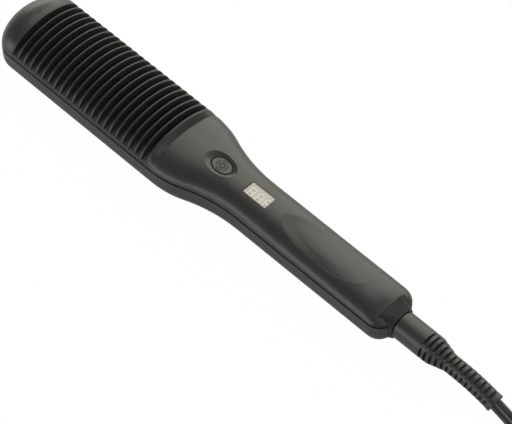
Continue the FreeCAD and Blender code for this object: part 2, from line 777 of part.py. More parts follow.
# ---- heating plate, heater, insulator, clamp ----
def make_heating_plate():
    start = dim.comb_start + dim.window_margin + dim.seat_clearance
    end = place.comb_end - dim.window_margin - dim.seat_clearance
    half = dim.window_half_width - dim.seat_clearance
    flange = block(start - 2.0, -dim.plate_flange_half_width, place.plate_bottom_z,
                   end - start + 4.0, 2 * dim.plate_flange_half_width, dim.plate_flange_thickness)
    raised = block(start, -half, dim.plate_ledge_z - 0.5, end - start, 2 * half, 10.0)
    above = block(start - 1, -dim.head_half_width, dim.parting_z + dim.slot_rim_height,
                  end - start + 2, 2 * dim.head_half_width, 20.0)
    raised = raised.cut(above.cut(slot_floor(start - 2, end + 2, 0.0)))
    ribs = []
    for step in range(1, int(dim.fin_count)):
        middle = dim.comb_start + (step + 0.5) * dim.fin_pitch
        blade = arch_bar(middle - dim.rib_width / 2, middle + dim.rib_width / 2,
                         dim.head_half_width - 2.0, dim.rib_height)
        ribs.append(blade.common(centred_block(middle, dim.plate_ledge_z, dim.rib_width,
                                               2 * dim.rib_half_length, 12.0)))
    plate = flange.fuse([raised] + ribs)
    holes = [post(x, y, place.plate_bottom_z - 1, dim.screw_radius, 3.5) for x, y in clamp_screw_spots]
    return plate.cut(holes)


# ---- swivel: socket in the shells, turning shaft, slip rings and contacts ----
def make_socket():
    return collar_form(0).cut(rod(place.collar_back_x - 1, dim.shaft_radius + dim.swivel_clearance,
                                  dim.collar_length + 2))


def make_contact_holder():
    start = place.second_ring_x - dim.holder_margin
    length = place.first_ring_x + dim.ring_width + dim.holder_margin - start
    inner = place.contact_y + dim.contact_thickness
    upright = block(start, inner, dim.wall, length, 3.4, 12.0)
    base = block(start, -5.0, dim.wall, length, 5.0 + inner + 3.4, 2.6)
    return upright.fuse(base).common(tray_cavity(dim.parting_z))


# ---- strain relief: ferrule, stepped neck, four rows of slots, gentle bend ----
bend_pivot = at(place.relief_bend_start, 0, dim.axis_z - dim.relief_bend_radius)


def bent(shape, distance):
    degrees = math.degrees(distance / dim.relief_bend_radius)
    shape.rotate(bend_pivot, Vector(0, 1, 0), degrees)
    return shape


def make_relief():
    start = place.relief_start
    profile = [
        (start, 0), (start, dim.relief_radius - 0.3), (start + 0.3, dim.relief_radius),
        (place.relief_cone_start, dim.relief_radius), (place.relief_cone_end, dim.relief_neck_radius),
        (place.relief_bend_start, dim.relief_neck_radius), (place.relief_bend_start, 0),
    ]
    points = [at(x, 0, dim.axis_z + r) for x, r in profile]
    outline = Part.Face(Part.makePolygon(points + points[:1]))
    straight = outline.revolve(at(0, 0, dim.axis_z), Vector(1, 0, 0), 360)
    disc = Part.Face(ring_wire(dim.relief_neck_radius, place.relief_bend_start))
    curved = disc.revolve(bend_pivot, Vector(0, 1, 0), dim.relief_bend_degrees)
    bend_length = math.radians(dim.relief_bend_degrees) * dim.relief_bend_radius
    flange = rod(place.relief_bend_start - dim.relief_end_flange, dim.relief_end_radius, dim.relief_end_flange)
    flange = flange.makeFillet(0.6, [edge for edge in flange.Edges if edge.Length > 10])
    relief = straight.fuse([curved, bent(flange, bend_length)])
    bore = rod(start - 1, dim.shaft_radius + 0.02, dim.shaft_reach + 1.2)
    cutters = [bore]
    for step in range(int(dim.relief_slot_count)):
        cutters.append(slot_cutter(place.relief_start + dim.relief_slot_offset + step * dim.relief_slot_pitch))
    return relief.cut(cutters)


def slot_cutter(x):
    # A disc less a square bar leaves four segments, so each slot has a flat floor.
    base_x = min(x, place.relief_bend_start)
    disc = rod(base_x - dim.relief_slot_width / 2, dim.relief_radius + 2, dim.relief_slot_width)
    half = relief_radius_at(x) * math.cos(math.radians(dim.relief_slot_half_angle))
    bar = block(base_x - 1.5, -half, dim.axis_z - half, 3.0, 2 * half, 2 * half)
    cutter = disc.cut(bar)
    return bent(cutter, x - base_x) if x > base_x else cutter


def relief_radius_at(x):
    if x <= place.relief_cone_start:
        return dim.relief_radius
    if x >= place.relief_cone_end:
        return dim.relief_neck_radius
    share = (x - place.relief_cone_start) / (place.relief_cone_end - place.relief_cone_start)
    return dim.relief_radius + share * (dim.relief_neck_radius - dim.relief_radius)


# ---- cord: tube of straight runs and tangent arcs ----
def routed_tube(points, diameter, name):
    corners = [points[0]]
    edges = []
    length = 0.0
    for before, corner, after in zip(points, points[1:], points[2:]):
        into = (corner - before).normalize()
        out = (after - corner).normalize()
        turn = into.getAngle(out)
        reach = 0.45 * min((corner - before).Length, (after - corner).Length)
        radius = reach / math.tan(turn / 2)
        start = corner - into * reach
        finish_point = corner + out * reach
        middle = (start + finish_point) * 0.5
        centre = corner + (middle - corner).normalize() * (radius / math.cos(turn / 2))
        on_arc = centre + (corner - centre).normalize() * radius
        edges.append(Part.LineSegment(corners[-1], start).toShape())
        edges.append(Part.Arc(start, on_arc, finish_point).toShape())
        corners.append(finish_point)
        print("%s turn %.1f deg, radius %.1f mm" % (name, math.degrees(turn), radius))
    edges.append(Part.LineSegment(corners[-1], points[-1]).toShape())
    path = Part.Wire(edges)
    section = Part.Wire([Part.Circle(points[0], points[1] - points[0], diameter / 2).toShape()])
    tube = path.makePipeShell([section], True, False)
    area = math.pi * diameter**2 / 4
    print("%s length %.1f mm, volume share %.4f" % (name, path.Length, tube.Volume / (area * path.Length)))
    return tube


relief_exit = Vector(dim.relief_bend_radius * math.sin(math.radians(dim.relief_bend_degrees)), 0,
                     dim.relief_bend_radius * math.cos(math.radians(dim.relief_bend_degrees)))
relief_exit = bend_pivot + relief_exit
cord_lie_z = dim.cord_diameter / 2

# The cord drops from the strain relief to the surface and joins the near run of the hank.
cord_points = [
    relief_exit,
    relief_exit + Vector(12.554, 0.0, -4.079),
    Vector(190.0, -3.4, cord_lie_z),
    Vector(202.0, -7.4, cord_lie_z),
    Vector(214.0, -10.3, cord_lie_z),
    Vector(226.0, -10.0, cord_lie_z),
]
plug_axis_z = dim.hank_height + dim.plug_rest_gap + dim.plug_thickness / 2
# The other end leaves the top of the hank and climbs to the plug, which lies across it.
tail_points = [
    Vector(207.5, -4.5, 13.4),
    Vector(214.9, -7.4, 15.4),
    Vector(223.3, -7.7, 18.4),
    Vector(231.4, -4.3, 21.2),
    Vector(238.5, 0.7, plug_axis_z),
]


def oblong(radius, z):
    # Two straight runs joined by half circles.
    near = Vector(dim.hank_x - dim.hank_run / 2, dim.hank_y, z)
    far = Vector(dim.hank_x + dim.hank_run / 2, dim.hank_y, z)
    left = Vector(0, radius, 0)
    ahead = Vector(radius, 0, 0)
    return Part.Wire([
        Part.LineSegment(near - left, far - left).toShape(),
        Part.Arc(far - left, far + ahead, far + left).toShape(),
        Part.LineSegment(far + left, near + left).toShape(),
        Part.Arc(near + left, near - ahead, near - left).toShape()])


def bevelled_oblong(radius, bevel):
    heights = [0, dim.hank_bevel, dim.hank_height - dim.hank_bevel, dim.hank_height]
    return Part.makeLoft([oblong(radius - bevel, heights[0]), oblong(radius, heights[1]),
                          oblong(radius, heights[2]), oblong(radius - bevel, heights[3])], True, True)


def make_coil():
    # The tied hank as one bundle; the flat under side lies on the surface.
    outside = bevelled_oblong(dim.hank_loop_radius + dim.hank_width / 2, dim.hank_bevel)
    opening = bevelled_oblong(dim.hank_loop_radius - dim.hank_width / 2, -dim.hank_bevel)
    return outside.cut(opening)


plug_heading = tail_points[-1] - tail_points[-2]
plug_turn = Rotation(Vector(0, 0, 1), math.degrees(math.atan2(plug_heading.y, plug_heading.x)))
plug_base = Vector(tail_points[-1].x, tail_points[-1].y, plug_axis_z)
print("plug base %.2f %.2f %.2f, turned %.2f deg" % (plug_base.x, plug_base.y, plug_base.z,
      math.degrees(plug_turn.Angle)))


def on_plug(shape):
    shape.Placement = Placement(plug_base, plug_turn).multiply(shape.Placement)
    return shape


def plug_section(x, half_wide, half_thick, corner):
    slab = Part.makeBox(1.0, 2 * half_wide, 2 * half_thick, Vector(x, -half_wide, -half_thick))
    slab = slab.makeFillet(corner, [edge for edge in slab.Edges if edge.BoundBox.XLength > 0.5])
    return min(slab.Faces, key=lambda side: side.CenterOfMass.x).OuterWire


# Local X of the plug points from the cord to the pins.
plug_neck_end_x = dim.plug_neck_length - 3.0
plug_front_x = plug_neck_end_x + dim.plug_length


def make_plug_body():
    neck_end_x = plug_neck_end_x
    waist_x = neck_end_x + 12.0
    front_x = plug_front_x
    wide = dim.plug_width / 2
    thick = dim.plug_thickness / 2
    neck = Part.makeLoft([plug_section(-3.0, 4.6, 4.2, 2.5),
                          plug_section(neck_end_x, 6.6, 5.4, 3.0)], True, True)
    taper = Part.makeLoft([plug_section(neck_end_x, 6.6, 5.4, 3.0),
                           plug_section(waist_x, wide * 0.72, thick, 4.0)], True, True)
    front = Part.makeLoft([plug_section(waist_x, wide * 0.72, thick, 4.0),
                           plug_section(front_x, wide, thick, 4.0)], True, True)
    body = neck.fuse([taper, front])
    for side in (-1, 1):
        hole = Part.makeCylinder(dim.pin_root_radius + 0.02, dim.pin_root_length + 1,
                                 Vector(front_x - dim.pin_root_length, side * dim.pin_spacing / 2, 0),
                                 Vector(1, 0, 0))
        body = body.cut(hole)
    return on_plug(body)


# ---- heater stack: heater, insulator, thermal parts, clamp and its screws ----
finish("ceramic_heater", centred_box(
    "heater", "places.comb_middle", "places.heater_z",
    "dims.heater_length", "dims.heater_width", "dims.heater_thickness"))
finish("mica_insulator", centred_box(
    "insulator", "places.comb_middle", "places.insulator_z",
    "dims.heater_length + 2 * dims.insulator_margin", "dims.heater_width + 2 * dims.insulator_margin",
    "dims.insulator_thickness"))
finish("plate_thermistor", lengthwise(
    "thermistor", "places.comb_middle - dims.sensor_from_middle", "dims.sensor_radius",
    "dims.sensor_length", "dims.sensor_offset",
    "places.plate_bottom_z - dims.sensor_radius - dims.under_plate_gap"))
finish("thermal_fuse", lengthwise(
    "fuse", "places.comb_middle - dims.fuse_from_middle", "dims.fuse_radius",
    "dims.fuse_length", "-dims.sensor_offset",
    "places.plate_bottom_z - dims.fuse_radius - dims.under_plate_gap"))

clamp_forms = [centred_box(
    "clamp_bar", "places.comb_middle", "places.clamp_z",
    "2 * places.clamp_foot_offset + dims.clamp_foot_length + 2 * dims.clamp_end_margin",
    "dims.clamp_width", "dims.clamp_thickness")]
clamp_cutters = []
clamp_screws = []
for number, side in enumerate(("-", "+")):
    foot_x = "places.comb_middle %s places.clamp_foot_offset" % side
    clamp_forms.append(centred_box(
        "clamp_foot_%d" % number, foot_x, "places.clamp_z", "dims.clamp_foot_length",
        "dims.clamp_width", "places.plate_bottom_z - places.clamp_z"))
    clamp_cutters.append(centred_box(
        "clamp_slot_%d" % number, "places.comb_middle", "places.clamp_z - 1",
        "dims.heater_length - 2 * dims.clamp_slot_inset", "dims.clamp_slot_width",
        "dims.clamp_thickness + 2", "0 %s dims.clamp_slot_offset" % side))
    for flank in ("-", "+"):
        screw_y = "0 %s dims.clamp_screw_offset" % flank
        tag = "%d_%s" % (number, "left" if flank == "-" else "right")
        clamp_cutters.append(upright(
            "clamp_hole_" + tag, foot_x, screw_y, "places.clamp_z - 1",
            "dims.screw_radius + dims.screw_clearance", "dims.clamp_screw_length + 1"))
        head = upright("clamp_screw_head_" + tag, foot_x, screw_y,
                       "places.clamp_z - dims.clamp_screw_head_height",
                       "dims.clamp_screw_head_radius", "dims.clamp_screw_head_height")
        shank = upright("clamp_screw_shank_" + tag, foot_x, screw_y, "places.clamp_z",
                        "dims.screw_radius - dims.screw_fit", "dims.clamp_screw_length")
        clamp_screws.append(fused("clamp_screw_" + tag, [head, shank]))
finish("heater_clamp", cut("clamp", fused("clamp_blank", clamp_forms), clamp_cutters))
finish("clamp_screws", group("clamp_screw_set", clamp_screws))

# ---- screws that hold the two shells together ----
shell_screw_rules = [
    ("dims.tip_screw_from_tip", "0"),
    ("dims.neck_screw_from_tip", "dims.neck_screw_offset"),
    ("dims.neck_screw_from_tip", "-dims.neck_screw_offset"),
    ("dims.body_length - dims.handle_screw_from_end", "0"),
]
shell_screws = []
for number, (x, y) in enumerate(shell_screw_rules):
    head = upright("shell_screw_head_%d" % number, x, y, "places.screw_head_z - dims.screw_head_height",
                   "dims.screw_head_radius", "dims.screw_head_height")
    shank = upright("shell_screw_shank_%d" % number, x, y, "places.screw_head_z", "dims.screw_radius",
                    "dims.parting_z + dims.shell_screw_bite - places.screw_head_z")
    shell_screws.append(fused("shell_screw_%d" % number, [head, shank]))
finish("shell_screws", group("shell_screw_set", shell_screws))

# ---- control board and what it carries ----
board = doc.addObject("PartDesign::Body", "board")
set_place(board, "dims.board_start", "0", "places.board_bottom_z")
board_outline = sketch_on(board, "board_outline", "XY_Plane")
draw_rectangle(board_outline, "dims.board_length", "dims.board_half_width")
board_pad = pad(board, "board_pad", board_outline, "dims.board_thickness")
doc.recompute()
board_corners = ["Edge%d" % (index + 1) for index, edge in enumerate(board_pad.Shape.Edges)
                 if edge.BoundBox.ZLength > dim.board_thickness / 2]
board_rounds = board.newObject("PartDesign::Fillet", "board_rounds")
board_rounds.Base = (board_pad, board_corners)
board_rounds.setExpression("Radius", "dims.board_corner")
board_holes = sketch_on(board, "board_holes", "XY_Plane")
draw_circle(board_holes, "dims.screw_radius + dims.screw_clearance", "dims.board_screw_inset")
draw_circle(board_holes, "dims.screw_radius + dims.screw_clearance",
            "dims.board_length - dims.board_screw_inset")
board_pocket = board.newObject("PartDesign::Pocket", "board_pocket")
board_pocket.Profile = board_holes
board_pocket.Type = "ThroughAll"
board_pocket.Reversed = True
board.Tip = board_pocket
finish("control_board", board)

board_screws = []
for number, x in enumerate(("dims.board_start + dims.board_screw_inset",
                            "dims.board_start + dims.board_length - dims.board_screw_inset")):
    head = upright("board_screw_head_%d" % number, x, "0", "dims.board_top_z",
                   "dims.board_screw_head_radius", "dims.board_screw_head_height")
    shank = upright("board_screw_shank_%d" % number, x, "0", "dims.board_top_z - dims.board_screw_length",
                    "dims.screw_radius - dims.screw_fit", "dims.board_screw_length")
    board_screws.append(fused("board_screw_%d" % number, [head, shank]))
finish("board_screws", group("board_screw_set", board_screws))

finish("board_parts", group("board_part_set", [
    centred_box("triac", "dims.board_start + dims.triac_from_board",
                "places.board_bottom_z - dims.triac_height", "dims.triac_length",
                "dims.triac_width", "dims.triac_height", "dims.triac_offset"),
    centred_box("bridge", "dims.board_start + dims.bridge_from_board",
                "places.board_bottom_z - dims.bridge_height", "dims.bridge_length",
                "dims.bridge_width", "dims.bridge_height", "-dims.bridge_offset"),
    centred_box("terminal", "dims.board_start + dims.terminal_from_board",
                "places.board_bottom_z - dims.terminal_height", "dims.terminal_length",
                "dims.terminal_width", "dims.terminal_height")]))
finish("mains_capacitor", lengthwise(
    "capacitor", "dims.board_start + dims.capacitor_from_board", "dims.capacitor_radius",
    "dims.capacitor_length", "-dims.capacitor_offset",
    "places.board_bottom_z - dims.capacitor_radius - dims.capacitor_gap"))

switch_case = centred_box("switch_case", "dims.button_from_tip", "dims.board_top_z",
                          "dims.switch_side", "dims.switch_side", "dims.switch_height")
well_depth = "(dims.button_travel + dims.switch_well_floor_gap)"
switch_well = upright("switch_well", "dims.button_from_tip", "0",
                      "dims.board_top_z + dims.switch_height - " + well_depth,
                      "dims.plunger_radius + dims.plunger_clearance", well_depth + " + 1")
finish("tact_switch", cut("switch", switch_case, [switch_well]))
finish("switch_plunger", upright(
    "plunger", "dims.button_from_tip", "0", "places.plunger_z", "dims.plunger_radius",
    "places.plunger_top_z - places.plunger_z"))

lens_body = centred_box("lens_body", "dims.display_from_tip",
                        "places.lens_top_z - dims.display_lens_thickness",
                        "dims.display_length - 2 * dims.lens_gap",
                        "dims.display_width - 2 * dims.lens_gap", "dims.display_lens_thickness")
lens_lip = centred_box("lens_lip", "dims.display_from_tip", "places.lens_lip_z",
                       "dims.display_length + 2 * (dims.display_lip - 2 * dims.lens_gap)",
                       "dims.display_width + 2 * (dims.display_lip - 2 * dims.lens_gap)",
                       "dims.lens_lip_thickness")
finish("display_lens", fused("lens", [lens_body, lens_lip]))
finish("display_module", centred_box(
    "module", "dims.display_from_tip", "dims.board_top_z", "dims.display_length",
    "dims.display_width",
    "places.lens_top_z - dims.display_lens_thickness - dims.display_gap - dims.board_top_z"))

# ---- power button: oval cap, rim that keeps it in, stem, sunk symbol ----
button = doc.addObject("PartDesign::Body", "button")
set_place(button, "dims.button_from_tip", "0", "0")
cap_sketch = sketch_on(button, "cap_sketch", "XY_Plane", "places.rim_top_z - 0.1")
draw_ellipse(cap_sketch, "dims.button_half_length", "dims.button_half_width")
cap_pad = pad(button, "cap_pad", cap_sketch, "dims.button_top_z - places.rim_top_z + 0.1")
doc.recompute()
cap_edges = ["Edge%d" % (index + 1) for index, edge in enumerate(cap_pad.Shape.Edges)
             if edge.BoundBox.ZMin > dim.button_top_z - 0.01]
cap_round = button.newObject("PartDesign::Fillet", "cap_round")
cap_round.Base = (cap_pad, cap_edges)
cap_round.setExpression("Radius", "dims.button_edge_round")
rim_sketch = sketch_on(button, "rim_sketch", "XY_Plane", "places.rim_top_z - dims.button_rim_thickness")
draw_ellipse(rim_sketch, "dims.button_half_length + dims.button_rim",
             "dims.button_half_width + dims.button_rim")
pad(button, "rim_pad", rim_sketch, "dims.button_rim_thickness")
stem_sketch = sketch_on(button, "stem_sketch", "XY_Plane", "places.plunger_top_z")
draw_circle(stem_sketch, "dims.plunger_radius")
button.Tip = pad(button, "stem_pad", stem_sketch, "places.rim_top_z - places.plunger_top_z")


def symbol_ring(name, radius):
    base_z = "dims.button_top_z - dims.icon_depth"
    discs = [upright(name + "_" + edge, "dims.button_from_tip", "0", base_z,
                     "%s %s dims.icon_line / 2" % (radius, sign), "dims.icon_depth + 1")
             for edge, sign in (("outside", "+"), ("inside", "-"))]
    return cut(name, discs[0], [discs[1]])


gap_bars = []
for turn in (45, 135, 225, 315):
    gap_bar = doc.addObject("Part::Box", "icon_gap_%d" % turn)
    turned_about = Rotation(Vector(0, 0, 1), turn)
    gap_bar.Placement = Placement(Vector(), turned_about)
    bind(gap_bar, {"Length": "dims.icon_radius * 2", "Width": "dims.icon_gap",
                   "Height": "dims.icon_depth + 1"})
    aside = turned_about.multVec(Vector(0, -0.5, 0))
    set_place(gap_bar, "dims.button_from_tip + (%.9f) * dims.icon_gap" % aside.x,
              "(%.9f) * dims.icon_gap" % aside.y, "dims.button_top_z - dims.icon_depth")
    gap_bars.append(gap_bar)
inner_radius = "dims.icon_radius * dims.icon_inner_share"
inner_gap = box("icon_inner_gap", "dims.button_from_tip - 2 * " + inner_radius,
                "-dims.icon_bar_gap / 2", "dims.button_top_z - dims.icon_depth",
                "2 * " + inner_radius, "dims.icon_bar_gap", "dims.icon_depth + 1")
icon_bar = box("icon_bar", "dims.button_from_tip - 1.25 * " + inner_radius,
               "-dims.icon_line / 2", "dims.button_top_z - dims.icon_depth",
               "1.25 * " + inner_radius, "dims.icon_line", "dims.icon_depth + 1")
symbol = fused("power_symbol", [
    cut("icon_outer_ring", symbol_ring("icon_outer", "dims.icon_radius"), gap_bars),
    cut("icon_inner_ring", symbol_ring("icon_inner", inner_radius), [inner_gap]),
    icon_bar])
finish("power_button", cut("button_with_symbol", button, [symbol]))

# ---- swivel shaft with its collar, slip rings and spring contacts ----
shaft = turned("shaft", [
    ("dims.shaft_tail", "dims.shaft_radius"),
    ("dims.shaft_tail + dims.shaft_collar_thickness", "dims.shaft_collar_radius"),
    ("places.relief_start + dims.shaft_reach - places.shaft_tail_x", "dims.shaft_radius")])
finish("swivel_shaft", set_place(shaft, "places.shaft_tail_x", "0", "dims.axis_z"))

slip_rings = []
contacts = []
for name, start in (("first", "places.first_ring_x"), ("second", "places.second_ring_x")):
    tyre = lengthwise(name + "_ring_outside", start, "dims.shaft_radius + dims.ring_thickness",
                      "dims.ring_width")
    bore = lengthwise(name + "_ring_bore", start + " - 1", "dims.shaft_radius + dims.ring_bore_gap",
                      "dims.ring_width + 2")
    slip_rings.append(cut(name + "_ring", tyre, [bore]))
    contacts.append(box(name + "_contact", start + " + dims.contact_inset", "places.contact_y",
                        "dims.axis_z - dims.contact_height / 2",
                        "dims.ring_width - 2 * dims.contact_inset", "dims.contact_thickness",
                        "dims.contact_height"))
finish("slip_rings", group("slip_ring_set", slip_rings))
finish("ring_contacts", group("contact_set", contacts))

# ---- bands round the hank ----
bands = []
for name, side in (("near", "-"), ("far", "+")):
    middle_y = "dims.hank_y %s dims.hank_loop_radius" % side
    start_x = "dims.tie_x - dims.tie_width / 2 - dims.tip_x"
    outer_width = "(dims.hank_width + 2 * dims.tie_thickness)"
    band = box(name + "_band_outside", start_x, "%s - %s / 2" % (middle_y, outer_width), "0",
               "dims.tie_width", outer_width, "dims.hank_height + dims.tie_thickness")
    hole = box(name + "_band_hole", start_x + " - 1", "%s - dims.hank_width / 2" % middle_y,
               "dims.tie_thickness", "dims.tie_width + 2", "dims.hank_width",
               "dims.hank_height - dims.tie_thickness")
    bands.append(cut(name + "_band", band, [hole]))
finish("cord_tie", group("band_set", bands))

# ---- plug pins: turned, with a thinner root that the plug is moulded round ----
pins = []
for name, side in (("near", -1), ("far", 1)):
    pin = turned(name + "_pin", [
        ("dims.pin_root_length - dims.pin_root_gap", "dims.pin_root_radius"),
        ("dims.pin_root_length - dims.pin_root_gap + dims.pin_length", "dims.pin_radius")])
    doc.recompute()
    turning = pin.Tip
    far_x = turning.Shape.BoundBox.XMax
    tip_edges = ["Edge%d" % (index + 1) for index, edge in enumerate(turning.Shape.Edges)
                 if edge.BoundBox.XMin > far_x - 0.01]
    tip = pin.newObject("PartDesign::Chamfer", name + "_pin_tip")
    tip.Base = (turning, tip_edges)
    tip.setExpression("Size", "dims.pin_tip_chamfer")
    pin.Tip = tip
    pin_start = Vector(plug_front_x - dim.pin_root_length + dim.pin_root_gap,
                       side * dim.pin_spacing / 2, 0)
    pin.Placement = Placement(plug_base, plug_turn).multiply(Placement(pin_start, Rotation()))
    pins.append(pin)
finish("plug_pins", group("pin_set", pins))

# ---- moulded shells and other free forms ----
feature("upper_housing", make_upper_housing())
feature("lower_housing", make_lower_housing())
feature("heating_plate", make_heating_plate())
feature("swivel_socket", make_socket())
feature("contact_holder", make_contact_holder())
feature("strain_relief", make_relief())
feature("mains_cord", routed_tube(cord_points, dim.cord_diameter, "cord"))
feature("cord_coil", make_coil())
feature("cord_tail", routed_tube(tail_points, dim.cord_diameter, "tail"))
feature("plug_body", make_plug_body())

doc.recompute()
for obj in doc.Objects:
    if "Invalid" in obj.State or "Error" in obj.State:
        raise RuntimeError(obj.Name + " failed")
for label, obj in finished.items():
    bad = "Invalid" in obj.State or "Error" in obj.State
    if bad or obj.Shape.isNull() or not obj.Shape.isValid() or not obj.Shape.Solids:
        raise RuntimeError(label + " failed")

os.makedirs("parts", exist_ok=True)
for label, obj in finished.items():
    obj.Shape.exportStep("parts/%s.step" % label)
    print("%-18s %2d solids %10.1f mm3" % (label, len(obj.Shape.Solids), obj.Shape.Volume))
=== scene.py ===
import math

import bpy
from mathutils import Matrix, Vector


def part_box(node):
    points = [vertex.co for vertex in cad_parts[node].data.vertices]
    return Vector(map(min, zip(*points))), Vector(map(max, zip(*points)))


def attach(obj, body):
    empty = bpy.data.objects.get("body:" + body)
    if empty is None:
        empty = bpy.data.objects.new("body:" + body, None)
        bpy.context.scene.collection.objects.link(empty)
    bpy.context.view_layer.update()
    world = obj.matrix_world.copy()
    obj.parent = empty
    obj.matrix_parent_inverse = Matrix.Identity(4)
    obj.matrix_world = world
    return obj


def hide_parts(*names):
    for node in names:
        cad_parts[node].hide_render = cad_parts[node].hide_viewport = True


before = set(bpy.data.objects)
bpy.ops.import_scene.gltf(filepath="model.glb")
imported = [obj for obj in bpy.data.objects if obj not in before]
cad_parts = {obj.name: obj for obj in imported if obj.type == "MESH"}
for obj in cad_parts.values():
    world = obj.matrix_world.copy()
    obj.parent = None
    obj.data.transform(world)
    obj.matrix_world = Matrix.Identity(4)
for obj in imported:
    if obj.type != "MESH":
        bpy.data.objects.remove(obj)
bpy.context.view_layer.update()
print("frame loaded")

# sizes are in metres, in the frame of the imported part
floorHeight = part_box("lower_housing")[0][2]


def pickOnly(piece):
    if bpy.context.object and bpy.context.object.mode != "OBJECT":
        bpy.ops.object.mode_set(mode="OBJECT")
    bpy.ops.object.select_all(action="DESELECT")
    piece.select_set(True)
    bpy.context.view_layer.objects.active = piece


# camera: angles in degrees, lens and sensor in millimetres
cameraView = {
    "azimuth": 44.58,
    "elevation": 54.60,
    "distance": 1.2681,
    "target": (0.00487, 0.001196, 0.00443),
    "lens": 180.1,
    "sensor": 36,
    "nearLimit": 0.05,
}


def makeCamera(view):
    side = math.radians(view["azimuth"])
    rise = math.radians(view["elevation"])
    back = Vector((math.sin(side) * math.cos(rise), -math.cos(side) * math.cos(rise),
                   math.sin(rise)))
    data = bpy.data.cameras.new("camera")
    data.lens = view["lens"]
    data.sensor_width = view["sensor"]
    data.clip_start = view["nearLimit"]
    camera = bpy.data.objects.new("camera", data)
    camera.location = Vector(view["target"]) + back * view["distance"]
    camera.rotation_euler = (math.radians(90 - view["elevation"]), 0, side)
    bpy.context.scene.collection.objects.link(camera)
    bpy.context.scene.camera = camera


makeCamera(cameraView)
print("camera placed")

# the twin cord: out of the sleeve, along the surface, round the tied hank and up to the plug
# a shift is how far a strand has changed lane, and a sway is its size and its phase
# the last turn leaves the hank after lastPoint, part of the way round the near loop
cordFacts = {
    "length": 1.8,
    "width": 0.0068,
    "thickness": 0.0038,
    "webShare": 0.58,
    "coreSteps": 3,
    "coreStepAngle": 30,
    "curveSteps": 6,
    "curveOrder": 3,
    "mergeWithin": 0.00001,
    "smoothAngle": 50,
    "lead": [(0.16378, 0, 0.0072), (0.17633, 0, 0.00312), (0.190, -0.0034, 0.0027),
             (0.202, -0.0074, 0.0025), (0.214, -0.0103, 0.0021)],
    "hankMiddle": (0.2452, 0.0160),
    "hankRun": 0.0476,
    "loopRadius": 0.0240,
    "loopPoints": 8,
    "turns": 7,
    "lastPoint": 16,
    "laneGap": 0.00355,
    "layerRise": 0.00398,
    "runReach": 0.5,
    "backRunShift": (0.15, 0.5),
    "nearLoopShift": (0.68, 0.16),
    "wideSway": (0.00025, 0.6),
    "narrowSway": (0.00012, 2.1),
    "tail": [(0.2075, -0.0045, 0.0144), (0.2149, -0.0074, 0.0160), (0.2233, -0.0077, 0.0187),
             (0.2314, -0.0043, 0.0213), (0.2385, 0.0007, 0.02275)],
}
# side of the bundle and layer of each strand, from the first turn to the last
hankLanes = [(1, 0), (-1, 0), (-1, 1), (1, 1), (1, 2), (-1, 2), (0, 3)]


def hankStations(facts):
    # one turn: near run, far loop, back run, near loop
    # each is a kind, a place along the hank, a bearing and how far the lane has changed
    halfRun = facts["hankRun"] / 2
    reach = halfRun * facts["runReach"]
    bearings = [math.degrees(math.pi / facts["loopPoints"] * (count + 0.5))
                for count in range(facts["loopPoints"])]
    firstShift, shiftStep = facts["nearLoopShift"]
    stations = [("run", -reach, -1, 0.0), ("run", reach, -1, 0.0)]
    stations += [("loop", halfRun, -90 + bearing, 0.0) for bearing in bearings]
    stations += [("run", reach, 1, facts["backRunShift"][0]),
                 ("run", -reach, 1, facts["backRunShift"][1])]
    stations += [("loop", -halfRun, 90 + bearing, min(1.0, firstShift + shiftStep * count))
                 for count, bearing in enumerate(bearings)]
    return stations


def eased(share):
    return share * share * (3 - 2 * share)


def hankPoints(facts):
    middleX, middleY = facts["hankMiddle"]
    wide, wideLead = facts["wideSway"]
    narrow, narrowLead = facts["narrowSway"]
    loopStep = math.pi / facts["loopPoints"]
    lastTurn = facts["turns"] - 1
    stations = hankStations(facts)
    points = []
    for turn in range(facts["turns"]):
        side, layer = hankLanes[turn]
        nextSide, nextLayer = hankLanes[min(turn + 1, lastTurn)]
        for number, (kind, centre, bearing, shift) in enumerate(stations):
            if turn == lastTurn and number > facts["lastPoint"]:
                break
            lane = side + (nextSide - side) * eased(shift)
            level = layer + (nextLayer - layer) * eased(shift)
            phase = math.tau * number / len(stations)
            sway = (wide * math.sin(2 * phase + wideLead)
                    + narrow * math.sin(3 * phase + narrowLead * turn))
            radius = facts["loopRadius"] + facts["laneGap"] * lane + sway
            height = facts["thickness"] / 2 + facts["layerRise"] * level
            if kind == "run":
                points.append((middleX + centre, middleY + bearing * radius, height))
            else:
                reach = radius / math.cos(loopStep / 2)
                angle = math.radians(bearing)
                points.append((middleX + centre + reach * math.cos(angle),
                               middleY + reach * math.sin(angle), height))
    return points


def routeCurve(name, points, facts):
    data = bpy.data.curves.new(name, "CURVE")
    data.dimensions = "3D"
    data.resolution_u = facts["curveSteps"]
    data.twist_mode = "Z_UP"
    spline = data.splines.new("NURBS")
    spline.points.add(len(points) - 1)
    for place, point in zip(spline.points, points):
        place.co = (*point, 1)
    spline.order_u = facts["curveOrder"]
    spline.use_endpoint_u = True
    curve = bpy.data.objects.new(name, data)
    bpy.context.scene.collection.objects.link(curve)
    return curve


def twinProfile(name, facts):
    # two round cores side by side with a shallow web between them
    half = facts["thickness"] / 2
    reach = facts["width"] / 2 - half
    outline = []
    for side in (1, -1):
        for step in range(-facts["coreSteps"], facts["coreSteps"] + 1):
            angle = math.radians(facts["coreStepAngle"] * step)
            outline.append((side * (reach + half * math.cos(angle)),
                            side * half * math.sin(angle)))
        outline.append((0, side * half * facts["webShare"]))
    data = bpy.data.curves.new(name, "CURVE")
    data.dimensions = "2D"
    spline = data.splines.new("POLY")
    spline.points.add(len(outline) - 1)
    for place, point in zip(spline.points, outline):
        place.co = (*point, 0, 1)
    spline.use_cyclic_u = True
    profile = bpy.data.objects.new(name, data)
    bpy.context.scene.collection.objects.link(profile)
    return profile


